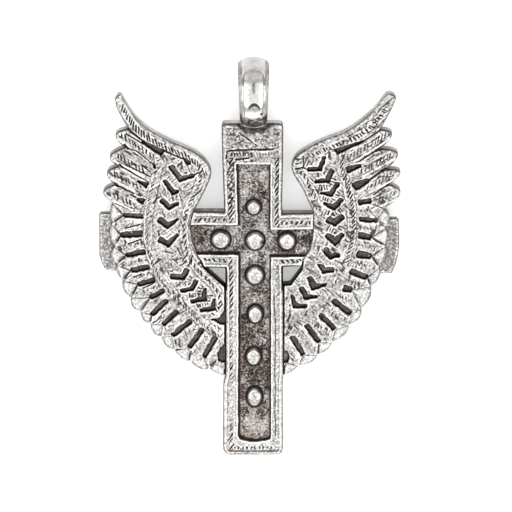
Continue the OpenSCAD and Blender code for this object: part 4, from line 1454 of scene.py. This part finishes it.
class PENDANT_OT_bail(bpy.types.Operator):
    """Add the ring bail"""

    bl_idname = "pendant.bail"
    bl_label = "Bail"

    def execute(self, context):
        sizes = context.scene.pendant_sizes
        angle = np.linspace(0, 2 * math.pi, BAIL_TURNS, endpoint=False)[:, None]
        x, r, dark, stand = bail_band(angle, np.linspace(-1, 1, BAIL_ACROSS)[None, :], sizes)
        # Six rows of points close the section along the hole, with rounded corners
        half = x[:, -1:]
        hole = sizes.bail_hole / MM
        inner_x = np.hstack([half, half - 0.12, half - 0.5, 0.5 - half, 0.12 - half, -half])
        inner_r = hole + np.array([0.5, 0.12, 0, 0, 0.12, 0.5]) + 0 * inner_x
        x = np.hstack([x, inner_x])
        r = np.hstack([r, inner_r])
        ahead = np.array([[math.sin(a)] for a in angle[:, 0]])
        up = np.array([[math.cos(a)] for a in angle[:, 0]])
        points = np.stack([x, r * ahead, r * up], axis=2).reshape(-1, 3)
        # The band's darkness and wear hold its painted reflections and shade
        marks = {
            "patina": np.hstack([dark, 0.45 + 0 * inner_x]).ravel(),
            "wear": np.hstack([stand, 0 * inner_x]).ravel(),
        }
        here = np.arange(len(points)).reshape(x.shape)
        beside = np.roll(here, -1, axis=1)
        quads = np.stack([here, beside, np.roll(beside, -1, axis=0), np.roll(here, -1, axis=0)], axis=2)
        skin = silver_plate(context, "polished_silver_plate", -0.4, 0.35, 0.2)
        add_piece(
            "bail", points + (BAIL_X, BAIL_Y, 0), quads.reshape(-1, 4).tolist(), marks, (skin,), sizes
        )
        return {"FINISHED"}


def link_new(scene, name, data):
    """New object of the scene for a mesh, a camera or a light."""
    item = bpy.data.objects.new(name, data)
    scene.collection.objects.link(item)
    return item


def add_sheet(scene):
    """Plain lit sheet that the pendant lies on."""
    mesh = bpy.data.meshes.new("opal_sheet")
    corners = [(-1, -1), (1, -1), (1, 1), (-1, 1)]
    mesh.from_pydata([(SHEET_HALF * a, SHEET_HALF * b, LOW.z) for a, b in corners], [], [(0, 1, 2, 3)])
    mesh.materials.append(opal_acrylic(scene.pendant_colours.sheet))
    sheet = link_new(scene, "opal_sheet", mesh)


def add_camera(scene, target, tilt):
    """Camera far off, that looks at the target from this angle above square to the sheet."""
    data = bpy.data.cameras.new("camera")
    data.lens = LENS_MM
    data.sensor_width = SENSOR_MM
    scene.camera = link_new(scene, "camera", data)
    right = Vector((1, 0, 0))
    towards = Vector((0, math.sin(tilt), math.cos(tilt)))
    turn = Matrix((right, towards.cross(right), towards)).transposed().to_4x4()
    distance = FRAME_MM * MM * LENS_MM / SENSOR_MM
    scene.camera.matrix_world = Matrix.Translation(target + towards * distance) @ turn


def add_lights(scene, target):
    """Soft boxes and a faint even light all round."""
    for name, where, width, height, watts, turned in SOFT_BOXES:
        light = bpy.data.lights.new(name, "AREA")
        light.shape = "RECTANGLE"
        light.size = width
        light.size_y = height
        light.energy = watts
        lamp = link_new(scene, name, light)
        lamp.location = where
        if turned:
            lamp.rotation_euler = (Vector(where) - target).to_track_quat("Z", "Y").to_euler()
    world = bpy.data.worlds.new("studio")
    world.use_nodes = True
    shade = world.node_tree.nodes["Background"]
    shade.inputs["Color"].default_value = (1, 1, 1, 1)
    shade.inputs["Strength"].default_value = 0.4
    scene.world = world
    scene.view_settings.view_transform = "Standard"


class PENDANT_OT_stage(bpy.types.Operator):
    """Add the opal sheet, the lights and the camera"""

    bl_idname = "pendant.stage"
    bl_label = "Stage"

    def execute(self, context):
        scene = context.scene
        sizes = scene.pendant_sizes
        target = Vector(place([(AIM[0], AIM[1] * LENGTH_SHARE, AIM[2])], sizes)[0])
        add_sheet(scene)
        add_camera(scene, target, VIEW_TILT - lean_angle(sizes))
        add_lights(scene, target)
        return {"FINISHED"}


class PENDANT_PT_panel(bpy.types.Panel):
    """Buttons that build the pendant"""

    bl_idname = "PENDANT_PT_panel"
    bl_label = "Winged cross pendant"
    bl_space_type = "VIEW_3D"
    bl_region_type = "UI"
    bl_category = "Pendant"

    def draw(self, context):
        for operator in OPERATORS:
            self.layout.operator(operator.bl_idname)


OPERATORS = (
    PENDANT_OT_stage,
    PENDANT_OT_cross,
    PENDANT_OT_wings,
    PENDANT_OT_tabs,
    PENDANT_OT_bail,
)
CLASSES = (PendantSizes, PendantColours, *OPERATORS, PENDANT_PT_panel)


def register():
    for item in CLASSES:
        bpy.utils.register_class(item)
    bpy.types.Scene.pendant_sizes = bpy.props.PointerProperty(type=PendantSizes)
    bpy.types.Scene.pendant_colours = bpy.props.PointerProperty(type=PendantColours)


def unregister():
    del bpy.types.Scene.pendant_colours
    del bpy.types.Scene.pendant_sizes
    for item in reversed(CLASSES):
        bpy.utils.unregister_class(item)


def main():
    register()
    bpy.ops.pendant.stage()
    bpy.ops.pendant.cross()
    bpy.ops.pendant.wings()
    bpy.ops.pendant.tabs()
    bpy.ops.pendant.bail()


if __name__ == "__main__":
    main()
